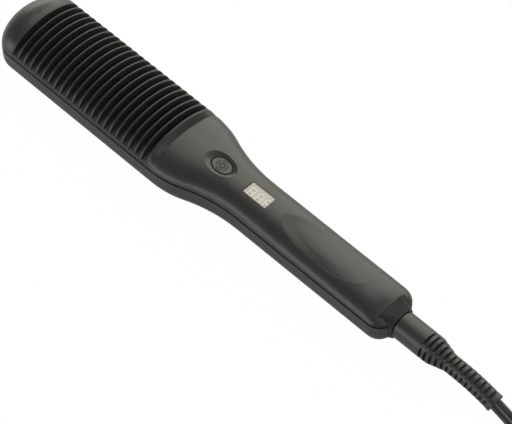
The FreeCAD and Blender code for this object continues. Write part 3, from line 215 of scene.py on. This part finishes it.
def makeCord(facts):
    points = facts["lead"] + hankPoints(facts) + facts["tail"]
    route = routeCurve("cordRoute", points, facts)
    bare = bpy.data.meshes.new_from_object(route)
    path = [tuple(vertex.co) for vertex in bare.vertices]
    bpy.data.meshes.remove(bare)
    profile = twinProfile("cordProfile", facts)
    route.data.bevel_mode = "OBJECT"
    route.data.bevel_object = profile
    route.data.use_fill_caps = True
    pickOnly(route)
    bpy.ops.object.convert(target="MESH")
    cord = bpy.context.object
    cord.name = "twin_cord"
    bpy.data.objects.remove(profile)
    pickOnly(cord)
    bpy.ops.object.mode_set(mode="EDIT")
    bpy.ops.mesh.select_all(action="SELECT")
    bpy.ops.mesh.remove_doubles(threshold=facts["mergeWithin"])
    bpy.ops.mesh.normals_make_consistent(inside=False)
    bpy.ops.object.mode_set(mode="OBJECT")
    bpy.ops.object.shade_smooth_by_angle(angle=math.radians(facts["smoothAngle"]))
    return cord, path


cord, cordPath = makeCord(cordFacts)
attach(cord, "swivel_cord")
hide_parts("mains_cord", "cord_coil", "cord_tail")
print("cord laid, points", len(cordPath))

# slots of the colour mix node
mixSlots = {"share": 0, "first": 6, "second": 7, "result": 2}


def feed(tree, value, socket):
    # a link where the value comes from a node, or else the value itself
    if isinstance(value, bpy.types.NodeSocket):
        tree.links.new(value, socket)
    else:
        socket.default_value = value


def mathNode(tree, operation, first, second=0):
    node = tree.nodes.new("ShaderNodeMath")
    node.operation = operation
    feed(tree, first, node.inputs[0])
    feed(tree, second, node.inputs[1])
    return node.outputs[0]


def mixColours(tree, share, first, second):
    node = tree.nodes.new("ShaderNodeMix")
    node.data_type = "RGBA"
    feed(tree, share, node.inputs[mixSlots["share"]])
    feed(tree, first, node.inputs[mixSlots["first"]])
    feed(tree, second, node.inputs[mixSlots["second"]])
    return node.outputs[mixSlots["result"]]


def softStep(tree, value, low, high):
    # 0 below low, 1 above high and smooth between them
    node = tree.nodes.new("ShaderNodeMapRange")
    node.interpolation_type = "SMOOTHSTEP"
    node.inputs["From Min"].default_value = low
    node.inputs["From Max"].default_value = high
    tree.links.new(value, node.inputs["Value"])
    return node.outputs["Result"]


def invert(tree, value):
    return mathNode(tree, "SUBTRACT", 1.0, value)


def within(tree, value, middle, reach, fade):
    # 1 near the middle value and 0 beyond the reach
    away = mathNode(tree, "ABSOLUTE", mathNode(tree, "SUBTRACT", value, middle))
    return invert(tree, softStep(tree, away, reach - fade / 2, reach + fade / 2))


def placeOf(tree):
    return tree.nodes.new("ShaderNodeTexCoord").outputs["Object"]


def axesOf(tree, vector):
    node = tree.nodes.new("ShaderNodeSeparateXYZ")
    tree.links.new(vector, node.inputs[0])
    return tuple(node.outputs)


def lengthOf(tree, first, second):
    # of two parts at right angles
    squares = [mathNode(tree, "MULTIPLY", value, value) for value in (first, second)]
    return mathNode(tree, "SQRT", mathNode(tree, "ADD", *squares))


def ovalSpread(tree, axes, values):
    # 0 at the middle of an upright oval tube and 1 on its outline
    shares = [mathNode(tree, "DIVIDE", mathNode(tree, "SUBTRACT", axis, middle), half)
              for axis, middle, half in zip(axes, values["middle"], values["half"])]
    return lengthOf(tree, *shares)


# shared effects
def newGroup(name, inputs, outputs):
    group = bpy.data.node_groups.new(name, "ShaderNodeTree")
    for direction, sockets in (("INPUT", inputs), ("OUTPUT", outputs)):
        for label, kind in sockets.items():
            group.interface.new_socket(label, in_out=direction, socket_type=kind)
    return group, group.nodes.new("NodeGroupInput"), group.nodes.new("NodeGroupOutput")


mouldGrain = {
    "fineDetail": 3,
    "pitScale": 0.6,
    "pitDepth": 0.5,
    "patchScale": 35,
    "patchDetail": 4,
    "patchMiddle": 0.5,
}


def makeGrainGroup(values):
    # spark-eroded mould texture: a fine noise with small pits, and slow patches of gloss
    group, ins, outs = newGroup("mouldGrain",
                                {"Vector": "NodeSocketVector", "Scale": "NodeSocketFloat",
                                 "Roughness": "NodeSocketFloat", "Spread": "NodeSocketFloat"},
                                {"Height": "NodeSocketFloat", "Roughness": "NodeSocketFloat"})
    fine = group.nodes.new("ShaderNodeTexNoise")
    fine.inputs["Detail"].default_value = values["fineDetail"]
    group.links.new(ins.outputs["Vector"], fine.inputs["Vector"])
    group.links.new(ins.outputs["Scale"], fine.inputs["Scale"])
    pits = group.nodes.new("ShaderNodeTexVoronoi")
    pitScale = mathNode(group, "MULTIPLY", ins.outputs["Scale"], values["pitScale"])
    group.links.new(ins.outputs["Vector"], pits.inputs["Vector"])
    group.links.new(pitScale, pits.inputs["Scale"])
    pitHeight = mathNode(group, "MULTIPLY", pits.outputs["Distance"], values["pitDepth"])
    height = mathNode(group, "ADD", fine.outputs["Fac"], pitHeight)
    group.links.new(height, outs.inputs["Height"])
    patches = group.nodes.new("ShaderNodeTexNoise")
    patches.inputs["Scale"].default_value = values["patchScale"]
    patches.inputs["Detail"].default_value = values["patchDetail"]
    group.links.new(ins.outputs["Vector"], patches.inputs["Vector"])
    shift = mathNode(group, "MULTIPLY",
                     mathNode(group, "SUBTRACT", patches.outputs["Fac"], values["patchMiddle"]),
                     ins.outputs["Spread"])
    roughness = mathNode(group, "ADD", ins.outputs["Roughness"], shift)
    group.links.new(roughness, outs.inputs["Roughness"])
    return group


handledTint = {
    "scale": 22,
    "detail": 6,
    "roughness": 0.65,
    "cleanBelow": 0.42,
    "wornAbove": 0.75,
}


def makeTintGroup(values):
    # faint handling marks and dust that lift the colour a little
    group, ins, outs = newGroup("handledTint",
                                {"Vector": "NodeSocketVector", "Colour": "NodeSocketColor",
                                 "Worn": "NodeSocketColor", "Amount": "NodeSocketFloat"},
                                {"Colour": "NodeSocketColor"})
    cloud = group.nodes.new("ShaderNodeTexNoise")
    cloud.inputs["Scale"].default_value = values["scale"]
    cloud.inputs["Detail"].default_value = values["detail"]
    cloud.inputs["Roughness"].default_value = values["roughness"]
    group.links.new(ins.outputs["Vector"], cloud.inputs["Vector"])
    ramp = group.nodes.new("ShaderNodeMapRange")
    ramp.inputs["From Min"].default_value = values["cleanBelow"]
    ramp.inputs["From Max"].default_value = values["wornAbove"]
    group.links.new(cloud.outputs["Fac"], ramp.inputs["Value"])
    mask = mathNode(group, "MULTIPLY", ramp.outputs["Result"], ins.outputs["Amount"])
    tinted = mixColours(group, mask, ins.outputs["Colour"], ins.outputs["Worn"])
    group.links.new(tinted, outs.inputs["Colour"])
    return group


grainGroup = makeGrainGroup(mouldGrain)
tintGroup = makeTintGroup(handledTint)


def placeGroup(tree, group, vector, values):
    node = tree.nodes.new("ShaderNodeGroup")
    node.node_tree = group
    tree.links.new(vector, node.inputs["Vector"])
    for label, value in values.items():
        node.inputs[label].default_value = value
    return node


def paintOver(material, mask, colour, roughness):
    # another colour and gloss over the finish, where the mask is 1
    tree = material.node_tree
    shader = tree.nodes["Principled BSDF"]
    under = shader.inputs["Base Color"].links[0].from_socket
    tree.links.new(mixColours(tree, mask, under, (*colour, 1)), shader.inputs["Base Color"])
    before = shader.inputs["Roughness"].links[0].from_socket
    step = mathNode(tree, "MULTIPLY", mathNode(tree, "SUBTRACT", roughness, before), mask)
    tree.links.new(mathNode(tree, "ADD", before, step), shader.inputs["Roughness"])


# how much of the worn tint shows, and how far the grain's full height reaches
handledShare = 0.6
grainReach = 0.0002

plastics = {
    "upperShell": {"colour": (0.014, 0.014, 0.013), "worn": (0.019, 0.019, 0.018),
                   "roughness": 0.36, "spread": 0.04, "grain": 2600, "depth": 0.015,
                   "specular": 0.65},
    "lowerShell": {"colour": (0.013, 0.013, 0.014), "worn": (0.018, 0.018, 0.019),
                   "roughness": 0.40, "spread": 0.04, "grain": 2600, "depth": 0.015,
                   "specular": 0.6},
    "plateCoat": {"colour": (0.030, 0.022, 0.018), "worn": (0.050, 0.036, 0.028),
                  "roughness": 0.45, "spread": 0.08, "grain": 4200, "depth": 0.05,
                  "specular": 0.5},
    "buttonGloss": {"colour": (0.034, 0.034, 0.032), "worn": (0.040, 0.040, 0.038),
                    "roughness": 0.34, "spread": 0.04, "grain": 3200, "depth": 0.015,
                    "specular": 0.6},
    "sleeveRubber": {"colour": (0.020, 0.020, 0.0195), "worn": (0.028, 0.028, 0.027),
                     "roughness": 0.36, "spread": 0.05, "grain": 2200, "depth": 0.015,
                     "specular": 0.6},
    "socketPlastic": {"colour": (0.016, 0.016, 0.0155), "worn": (0.021, 0.021, 0.020),
                      "roughness": 0.46, "spread": 0.05, "grain": 2600, "depth": 0.02,
                      "specular": 0.32},
    "cordSheath": {"colour": (0.006, 0.006, 0.006), "worn": (0.011, 0.011, 0.011),
                   "roughness": 0.18, "spread": 0.05, "grain": 1600, "depth": 0.005,
                   "specular": 0.5},
    "plugRubber": {"colour": (0.018, 0.018, 0.018), "worn": (0.028, 0.028, 0.028),
                   "roughness": 0.42, "spread": 0.06, "grain": 2000, "depth": 0.04,
                   "specular": 0.5},
    "strap": {"colour": (0.015, 0.015, 0.015), "worn": (0.028, 0.028, 0.028),
              "roughness": 0.5, "spread": 0.05, "grain": 1800, "depth": 0.06,
              "specular": 0.5},
    "darkPlastic": {"colour": (0.020, 0.020, 0.020), "worn": (0.030, 0.030, 0.030),
                    "roughness": 0.5, "spread": 0.05, "grain": 2400, "depth": 0.05,
                    "specular": 0.5},
    "boardMask": {"colour": (0.010, 0.085, 0.030), "worn": (0.020, 0.120, 0.045),
                  "roughness": 0.35, "spread": 0.08, "grain": 1500, "depth": 0.03,
                  "specular": 0.5},
    "ceramicBody": {"colour": (0.70, 0.68, 0.62), "worn": (0.60, 0.57, 0.50),
                    "roughness": 0.6, "spread": 0.06, "grain": 1800, "depth": 0.08,
                    "specular": 0.5},
    "micaSheet": {"colour": (0.50, 0.42, 0.26), "worn": (0.36, 0.29, 0.17),
                  "roughness": 0.35, "spread": 0.10, "grain": 900, "depth": 0.10,
                  "specular": 0.6},
}
metals = {
    "millAluminium": {"colour": (0.62, 0.63, 0.65), "worn": (0.50, 0.51, 0.53),
                      "roughness": 0.38, "spread": 0.14, "grain": 1800, "depth": 0.04},
    "zincSteel": {"colour": (0.45, 0.45, 0.47), "worn": (0.34, 0.33, 0.34),
                  "roughness": 0.34, "spread": 0.16, "grain": 2200, "depth": 0.05},
    "brightBrass": {"colour": (0.70, 0.48, 0.20), "worn": (0.55, 0.36, 0.15),
                    "roughness": 0.28, "spread": 0.12, "grain": 2200, "depth": 0.03},
    "nickelPins": {"colour": (0.66, 0.65, 0.63), "worn": (0.52, 0.50, 0.48),
                   "roughness": 0.20, "spread": 0.10, "grain": 2600, "depth": 0.02},
}


def startFinish(name, values, handled):
    # tint and patches of gloss; the grain's height is left to the caller
    material = bpy.data.materials.new(name)
    material.use_nodes = True
    tree = material.node_tree
    shader = tree.nodes["Principled BSDF"]
    place = placeOf(tree)
    tint = placeGroup(tree, tintGroup, place, {"Colour": (*values["colour"], 1),
                                               "Worn": (*values["worn"], 1),
                                               "Amount": handled})
    grain = placeGroup(tree, grainGroup, place, {"Scale": values["grain"],
                                                 "Spread": values["spread"],
                                                 "Roughness": values["roughness"]})
    tree.links.new(tint.outputs["Colour"], shader.inputs["Base Color"])
    tree.links.new(grain.outputs["Roughness"], shader.inputs["Roughness"])
    return material, grain


def makeFinish(name, values, metallic):
    material, grain = startFinish(name, values, handledShare)
    tree = material.node_tree
    shader = tree.nodes["Principled BSDF"]
    bump = tree.nodes.new("ShaderNodeBump")
    bump.inputs["Strength"].default_value = values["depth"]
    bump.inputs["Distance"].default_value = grainReach
    tree.links.new(grain.outputs["Height"], bump.inputs["Height"])
    tree.links.new(bump.outputs["Normal"], shader.inputs["Normal"])
    shader.inputs["Metallic"].default_value = metallic
    if not metallic:
        shader.inputs["Specular IOR Level"].default_value = values["specular"]
    return material


finishOf = {name: makeFinish(name, values, 0) for name, values in plastics.items()}
finishOf.update({name: makeFinish(name, values, 1) for name, values in metals.items()})

# the thumb dish keeps some of the handle's own roundness from side to side
dishCrown = {
    "middle": (0.05597, 0.0),
    "half": (0.0272, 0.0080),
    "lean": 58.0,
    "fadeStart": 0.60,
    "fadeEnd": 1.10,
}


def crownDish(material, values):
    tree = material.node_tree
    axes = axesOf(tree, placeOf(tree))
    spread = ovalSpread(tree, axes, values)
    mask = invert(tree, softStep(tree, spread, values["fadeStart"], values["fadeEnd"]))
    lean = mathNode(tree, "MULTIPLY", mathNode(tree, "MULTIPLY", axes[1], values["lean"]), mask)
    sideways = tree.nodes.new("ShaderNodeCombineXYZ")
    tree.links.new(lean, sideways.inputs["Y"])
    total = tree.nodes.new("ShaderNodeVectorMath")
    total.operation = "ADD"
    tree.links.new(tree.nodes.new("ShaderNodeNewGeometry").outputs["Normal"], total.inputs[0])
    tree.links.new(sideways.outputs[0], total.inputs[1])
    even = tree.nodes.new("ShaderNodeVectorMath")
    even.operation = "NORMALIZE"
    tree.links.new(total.outputs[0], even.inputs[0])
    bump = tree.nodes["Principled BSDF"].inputs["Normal"].links[0].from_node
    tree.links.new(even.outputs[0], bump.inputs["Normal"])


# painted light and shade in the comb: a brownish tone on the slot walls behind the fins for the
# shaded slots, and a darker, less glossy crest on each fin that dims its highlight
combSlotShade = {
    "middle": -0.0972,
    "reach": 0.0505,
    "fade": 0.0004,
    "facing": (0.55, 0.85),
    # painted tone of the shaded slot walls
    "colour": (0.024, 0.020, 0.017),
    "roughness": 0.6,
    # painted shade that dims the highlight on each fin's crest
    "crestShadeColour": (0.010, 0.010, 0.0095),
    "crestRoughness": 0.50,
}


def paintCombShade(material, values):
    tree = material.node_tree
    place = tree.nodes.new("ShaderNodeTexCoord")
    along = axesOf(tree, place.outputs["Object"])[0]
    comb = within(tree, along, values["middle"], values["reach"], values["fade"])
    facing = mathNode(tree, "ABSOLUTE", axesOf(tree, place.outputs["Normal"])[0])
    wall = softStep(tree, facing, *values["facing"])
    paintOver(material, mathNode(tree, "MULTIPLY", comb, invert(tree, wall)),
              values["crestShadeColour"], values["crestRoughness"])
    paintOver(material, mathNode(tree, "MULTIPLY", comb, wall), values["colour"],
              values["roughness"])


# painted shade in the groove where the shells meet
seamShade = {
    "height": 0.0154,
    "reach": 0.00075,
    "fade": 0.0004,
    # painted shade colour of the seam groove
    "colour": (0.003, 0.003, 0.003),
    "roughness": 0.8,
}


def paintSeamShade(material, values):
    tree = material.node_tree
    up = axesOf(tree, placeOf(tree))[2]
    mask = within(tree, up, values["height"], values["reach"], values["fade"])
    paintOver(material, mask, values["colour"], values["roughness"])


# painted shadow on the rim of the cap, for the gap round it, and the darker sunk lines of the
# power symbol
buttonPaint = {
    "middle": (-0.01743, 0.0),
    "half": (0.0063, 0.0042),
    "rimStart": 0.90,
    "rimEnd": 0.94,
    "symbolLow": 0.02292,
    "symbolHigh": 0.02302,
    # painted shadow of the gap round the cap
    "rimShadowColour": (0.002, 0.002, 0.002),
    "symbolColour": (0.006, 0.006, 0.006),
    "roughness": 0.7,
}


def paintButton(material, values):
    tree = material.node_tree
    axes = axesOf(tree, placeOf(tree))
    rim = softStep(tree, ovalSpread(tree, axes, values), values["rimStart"], values["rimEnd"])
    sunk = invert(tree, softStep(tree, axes[2], values["symbolLow"], values["symbolHigh"]))
    paintOver(material, sunk, values["symbolColour"], values["roughness"])
    paintOver(material, rim, values["rimShadowColour"], values["roughness"])


# painted shade in the slots of the sleeve: barrel, cone and neck, straight at first and then
# bent down
sleeveSlotShade = {
    "bendStart": 0.13977,
    "bendRadius": 0.0777,
    "axisHeight": 0.011,
    "coneStart": 0.12497,
    "coneEnd": 0.13477,
    "barrelRadius": 0.0074,
    "neckRadius": 0.00485,
    "shallow": 0.0001,
    "deep": 0.0004,
    # painted shade colour of the slot floors
    "colour": (0.003, 0.003, 0.003),
    "roughness": 0.75,
}


def paintSleeveShade(material, values):
    # the mask of the painted shade is how far a point lies under the sleeve's outer surface
    tree = material.node_tree
    along, across, up = axesOf(tree, placeOf(tree))
    ahead = mathNode(tree, "MAXIMUM", mathNode(tree, "SUBTRACT", along, values["bendStart"]))
    above = mathNode(tree, "SUBTRACT", up, values["axisHeight"] - values["bendRadius"])
    rise = mathNode(tree, "SUBTRACT", lengthOf(tree, ahead, above), values["bendRadius"])
    radius = lengthOf(tree, rise, across)
    outer = tree.nodes.new("ShaderNodeMapRange")
    outer.inputs["From Min"].default_value = values["coneStart"]
    outer.inputs["From Max"].default_value = values["coneEnd"]
    outer.inputs["To Min"].default_value = values["barrelRadius"]
    outer.inputs["To Max"].default_value = values["neckRadius"]
    tree.links.new(along, outer.inputs["Value"])
    depth = mathNode(tree, "SUBTRACT", outer.outputs["Result"], radius)
    paintOver(material, softStep(tree, depth, values["shallow"], values["deep"]),
              values["colour"], values["roughness"])


crownDish(finishOf["upperShell"], dishCrown)
paintCombShade(finishOf["upperShell"], combSlotShade)
paintSeamShade(finishOf["upperShell"], seamShade)
paintSeamShade(finishOf["lowerShell"], seamShade)
paintButton(finishOf["buttonGloss"], buttonPaint)
paintSleeveShade(finishOf["sleeveRubber"], sleeveSlotShade)

# display window: pale cover with three plain digits that run out of its near and right edges
displayFace = {
    "middle": (0.00817, 0.0),
    "half": (0.00765, 0.0039),
    "colour": (0.50, 0.485, 0.425),
    "worn": (0.56, 0.545, 0.485),
    "handled": 0.8,
    "roughness": 0.30,
    "spread": 0.06,
    "grain": 3000,
    "digit": (0.72, 0.71, 0.64),
    "hollow": (0.45, 0.435, 0.38),
    "border": (0.16, 0.14, 0.12),
    "borderRoughness": 0.50,
    "borderStart": 0.000375,
    "borderFull": 0.000125,
    "firstDigit": -0.00382,
    "firstFade": 0.0001,
    "digitPitch": 0.0052,
    "digitHeight": -0.00123,
    "halfWidth": 0.00142,
    "loopHeight": 0.00245,
    "corner": 0.0006,
    "stroke": 0.00050,
    "fade": 0.00035,
}


def digitEdge(tree, along, up, values):
    # each digit is an eight: fold the width about its middle and the height about its two loops
    inDigit = mathNode(tree, "SUBTRACT", mathNode(tree, "MODULO", along, values["digitPitch"]),
                       values["digitPitch"] / 2)
    across = mathNode(tree, "ABSOLUTE", inDigit)
    fromMiddle = mathNode(tree, "ABSOLUTE",
                          mathNode(tree, "SUBTRACT", up, values["digitHeight"]))
    halfLoop = values["loopHeight"] / 2
    fromLoop = mathNode(tree, "ABSOLUTE", mathNode(tree, "SUBTRACT", fromMiddle, halfLoop))
    # distance from the rounded outline of one loop, below zero inside it
    sides = mathNode(tree, "SUBTRACT", across, values["halfWidth"] - values["corner"])
    ends = mathNode(tree, "SUBTRACT", fromLoop, halfLoop - values["corner"])
    outside = lengthOf(tree, mathNode(tree, "MAXIMUM", sides), mathNode(tree, "MAXIMUM", ends))
    inside = mathNode(tree, "MINIMUM", mathNode(tree, "MAXIMUM", sides, ends))
    return mathNode(tree, "SUBTRACT", mathNode(tree, "ADD", outside, inside), values["corner"])


def displayMasks(tree, values):
    right, up = [mathNode(tree, "SUBTRACT", axis, middle)
                 for axis, middle in zip(axesOf(tree, placeOf(tree)), values["middle"])]
    along = mathNode(tree, "SUBTRACT", right, values["firstDigit"] - values["digitPitch"] / 2)
    edge = digitEdge(tree, along, up, values)
    started = softStep(tree, along, 0.0, values["firstFade"])
    stroke = within(tree, edge, 0.0, values["stroke"] / 2, values["fade"])
    hollow = invert(tree, softStep(tree, edge, -values["stroke"] - values["fade"],
                                   -values["stroke"] / 2))
    rims = [softStep(tree, mathNode(tree, "ABSOLUTE", value), half - values["borderStart"],
                     half - values["borderFull"])
            for value, half in zip((right, up), values["half"])]
    return (mathNode(tree, "MULTIPLY", stroke, started),
            mathNode(tree, "MULTIPLY", hollow, started), mathNode(tree, "MAXIMUM", *rims))


def makeWindow(values):
    material = startFinish("displayCover", values, values["handled"])[0]
    stroke, hollow, border = displayMasks(material.node_tree, values)
    paintOver(material, hollow, values["hollow"], values["roughness"])
    paintOver(material, stroke, values["digit"], values["roughness"])
    paintOver(material, border, values["border"], values["borderRoughness"])
    return material


finishOf["window"] = makeWindow(displayFace)

nodeFinish = {
    "upper_housing": "upperShell", "lower_housing": "lowerShell", "heating_plate": "plateCoat",
    "ceramic_heater": "ceramicBody", "mica_insulator": "micaSheet",
    "heater_clamp": "millAluminium", "plate_thermistor": "ceramicBody",
    "thermal_fuse": "millAluminium", "clamp_screws": "zincSteel", "shell_screws": "zincSteel",
    "board_screws": "zincSteel", "control_board": "boardMask", "board_parts": "darkPlastic",
    "mains_capacitor": "darkPlastic", "tact_switch": "darkPlastic",
    "switch_plunger": "darkPlastic", "power_button": "buttonGloss", "display_lens": "window",
    "display_module": "darkPlastic", "swivel_socket": "socketPlastic",
    "swivel_shaft": "darkPlastic", "slip_rings": "brightBrass", "ring_contacts": "brightBrass",
    "contact_holder": "ceramicBody", "strain_relief": "sleeveRubber", "cord_tie": "strap",
    "plug_body": "plugRubber", "plug_pins": "nickelPins",
}


def dress(piece, material):
    for spot in piece.material_slots:
        spot.material = material
    if not piece.material_slots:
        piece.data.materials.append(material)


for node, finish in nodeFinish.items():
    dress(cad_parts[node], finishOf[finish])
dress(cord, finishOf["cordSheath"])
print("finishes placed")

# the floor is seen white, while reflections and bounced light find it darker
floorFacts = {
    "size": 6,
    "drop": 0.0002,
    "colour": (0.80, 0.80, 0.80),
    "glow": 1.0,
    "seenGlow": 0.985,
    "reflectedGlow": 0.30,
}


def makeFloor(values):
    bpy.ops.mesh.primitive_plane_add(size=values["size"],
                                     location=(0, 0, floorHeight - values["drop"]))
    floor = bpy.context.object
    floor.name = "floor"
    material = bpy.data.materials.new("paleFloor")
    material.use_nodes = True
    tree = material.node_tree
    tree.nodes.clear()
    output = tree.nodes.new("ShaderNodeOutputMaterial")
    paint = tree.nodes.new("ShaderNodeBsdfDiffuse")
    paint.inputs["Color"].default_value = (*values["colour"], 1)
    glow = tree.nodes.new("ShaderNodeEmission")
    glow.inputs["Strength"].default_value = values["glow"]
    rays = tree.nodes.new("ShaderNodeLightPath")
    seen = mathNode(tree, "MAXIMUM", rays.outputs["Is Camera Ray"],
                    rays.outputs["Is Transmission Ray"])
    seenGlow = mathNode(tree, "MULTIPLY", seen, values["seenGlow"])
    reflectedGlow = mathNode(tree, "MULTIPLY", rays.outputs["Is Glossy Ray"],
                             values["reflectedGlow"])
    mix = tree.nodes.new("ShaderNodeMixShader")
    tree.links.new(mathNode(tree, "MAXIMUM", seenGlow, reflectedGlow), mix.inputs[0])
    tree.links.new(paint.outputs[0], mix.inputs[1])
    tree.links.new(glow.outputs[0], mix.inputs[2])
    tree.links.new(mix.outputs[0], output.inputs["Surface"])
    floor.data.materials.append(material)


worldFacts = {
    "colour": (1.0, 0.99, 0.97),
    "strength": 0.30,
    "seenStrength": 1.0,
}


def makeWorld(values):
    world = bpy.data.worlds.new("studio")
    world.use_nodes = True
    tree = world.node_tree
    sky = tree.nodes["Background"]
    sky.inputs["Color"].default_value = (*values["colour"], 1)
    sky.inputs["Strength"].default_value = values["strength"]
    white = tree.nodes.new("ShaderNodeBackground")
    white.inputs["Strength"].default_value = values["seenStrength"]
    rays = tree.nodes.new("ShaderNodeLightPath")
    mix = tree.nodes.new("ShaderNodeMixShader")
    tree.links.new(rays.outputs["Is Camera Ray"], mix.inputs[0])
    tree.links.new(sky.outputs[0], mix.inputs[1])
    tree.links.new(white.outputs[0], mix.inputs[2])
    tree.links.new(mix.outputs[0], tree.nodes["World Output"].inputs["Surface"])
    bpy.context.scene.world = world


# area lamps that all point at the middle of the frame; power in watts
lampAim = (0, 0, 0)
lamps = {
    "warmSide": {"place": (-0.23, 1.00, 0.66), "size": (1.3, 1.3), "power": 10.5,
                 "colour": (1.0, 0.975, 0.86)},
    "tipLight": {"place": (-1.00, 0.63, 0.19), "size": (0.60, 0.42), "power": 2.0,
                 "colour": (1.0, 0.975, 0.88)},
    "crownLight": {"place": (-0.55, 0.34, 1.22), "size": (0.64, 0.60), "power": 2.3,
                   "colour": (1.0, 0.975, 0.88)},
    "coolSide": {"place": (-0.52, -1.25, 0.30), "size": (1.8, 0.54), "power": 7.3,
                 "colour": (0.93, 0.97, 1.0)},
    "topFill": {"place": (0.85, 0.05, 1.05), "size": (1.4, 1.4), "power": 4,
                "colour": (1.0, 1.0, 1.0)},
}


def makeLamp(name, values):
    data = bpy.data.lights.new(name, "AREA")
    data.shape = "RECTANGLE"
    data.size, data.size_y = values["size"]
    data.energy = values["power"]
    data.color = values["colour"]
    lamp = bpy.data.objects.new(name, data)
    lamp.location = values["place"]
    aim = Vector(lampAim) - Vector(values["place"])
    lamp.rotation_euler = aim.to_track_quat("-Z", "Y").to_euler()
    bpy.context.scene.collection.objects.link(lamp)


makeFloor(floorFacts)
makeWorld(worldFacts)
for name, values in lamps.items():
    makeLamp(name, values)
bpy.context.scene.view_settings.view_transform = "Standard"
print("stage lit")
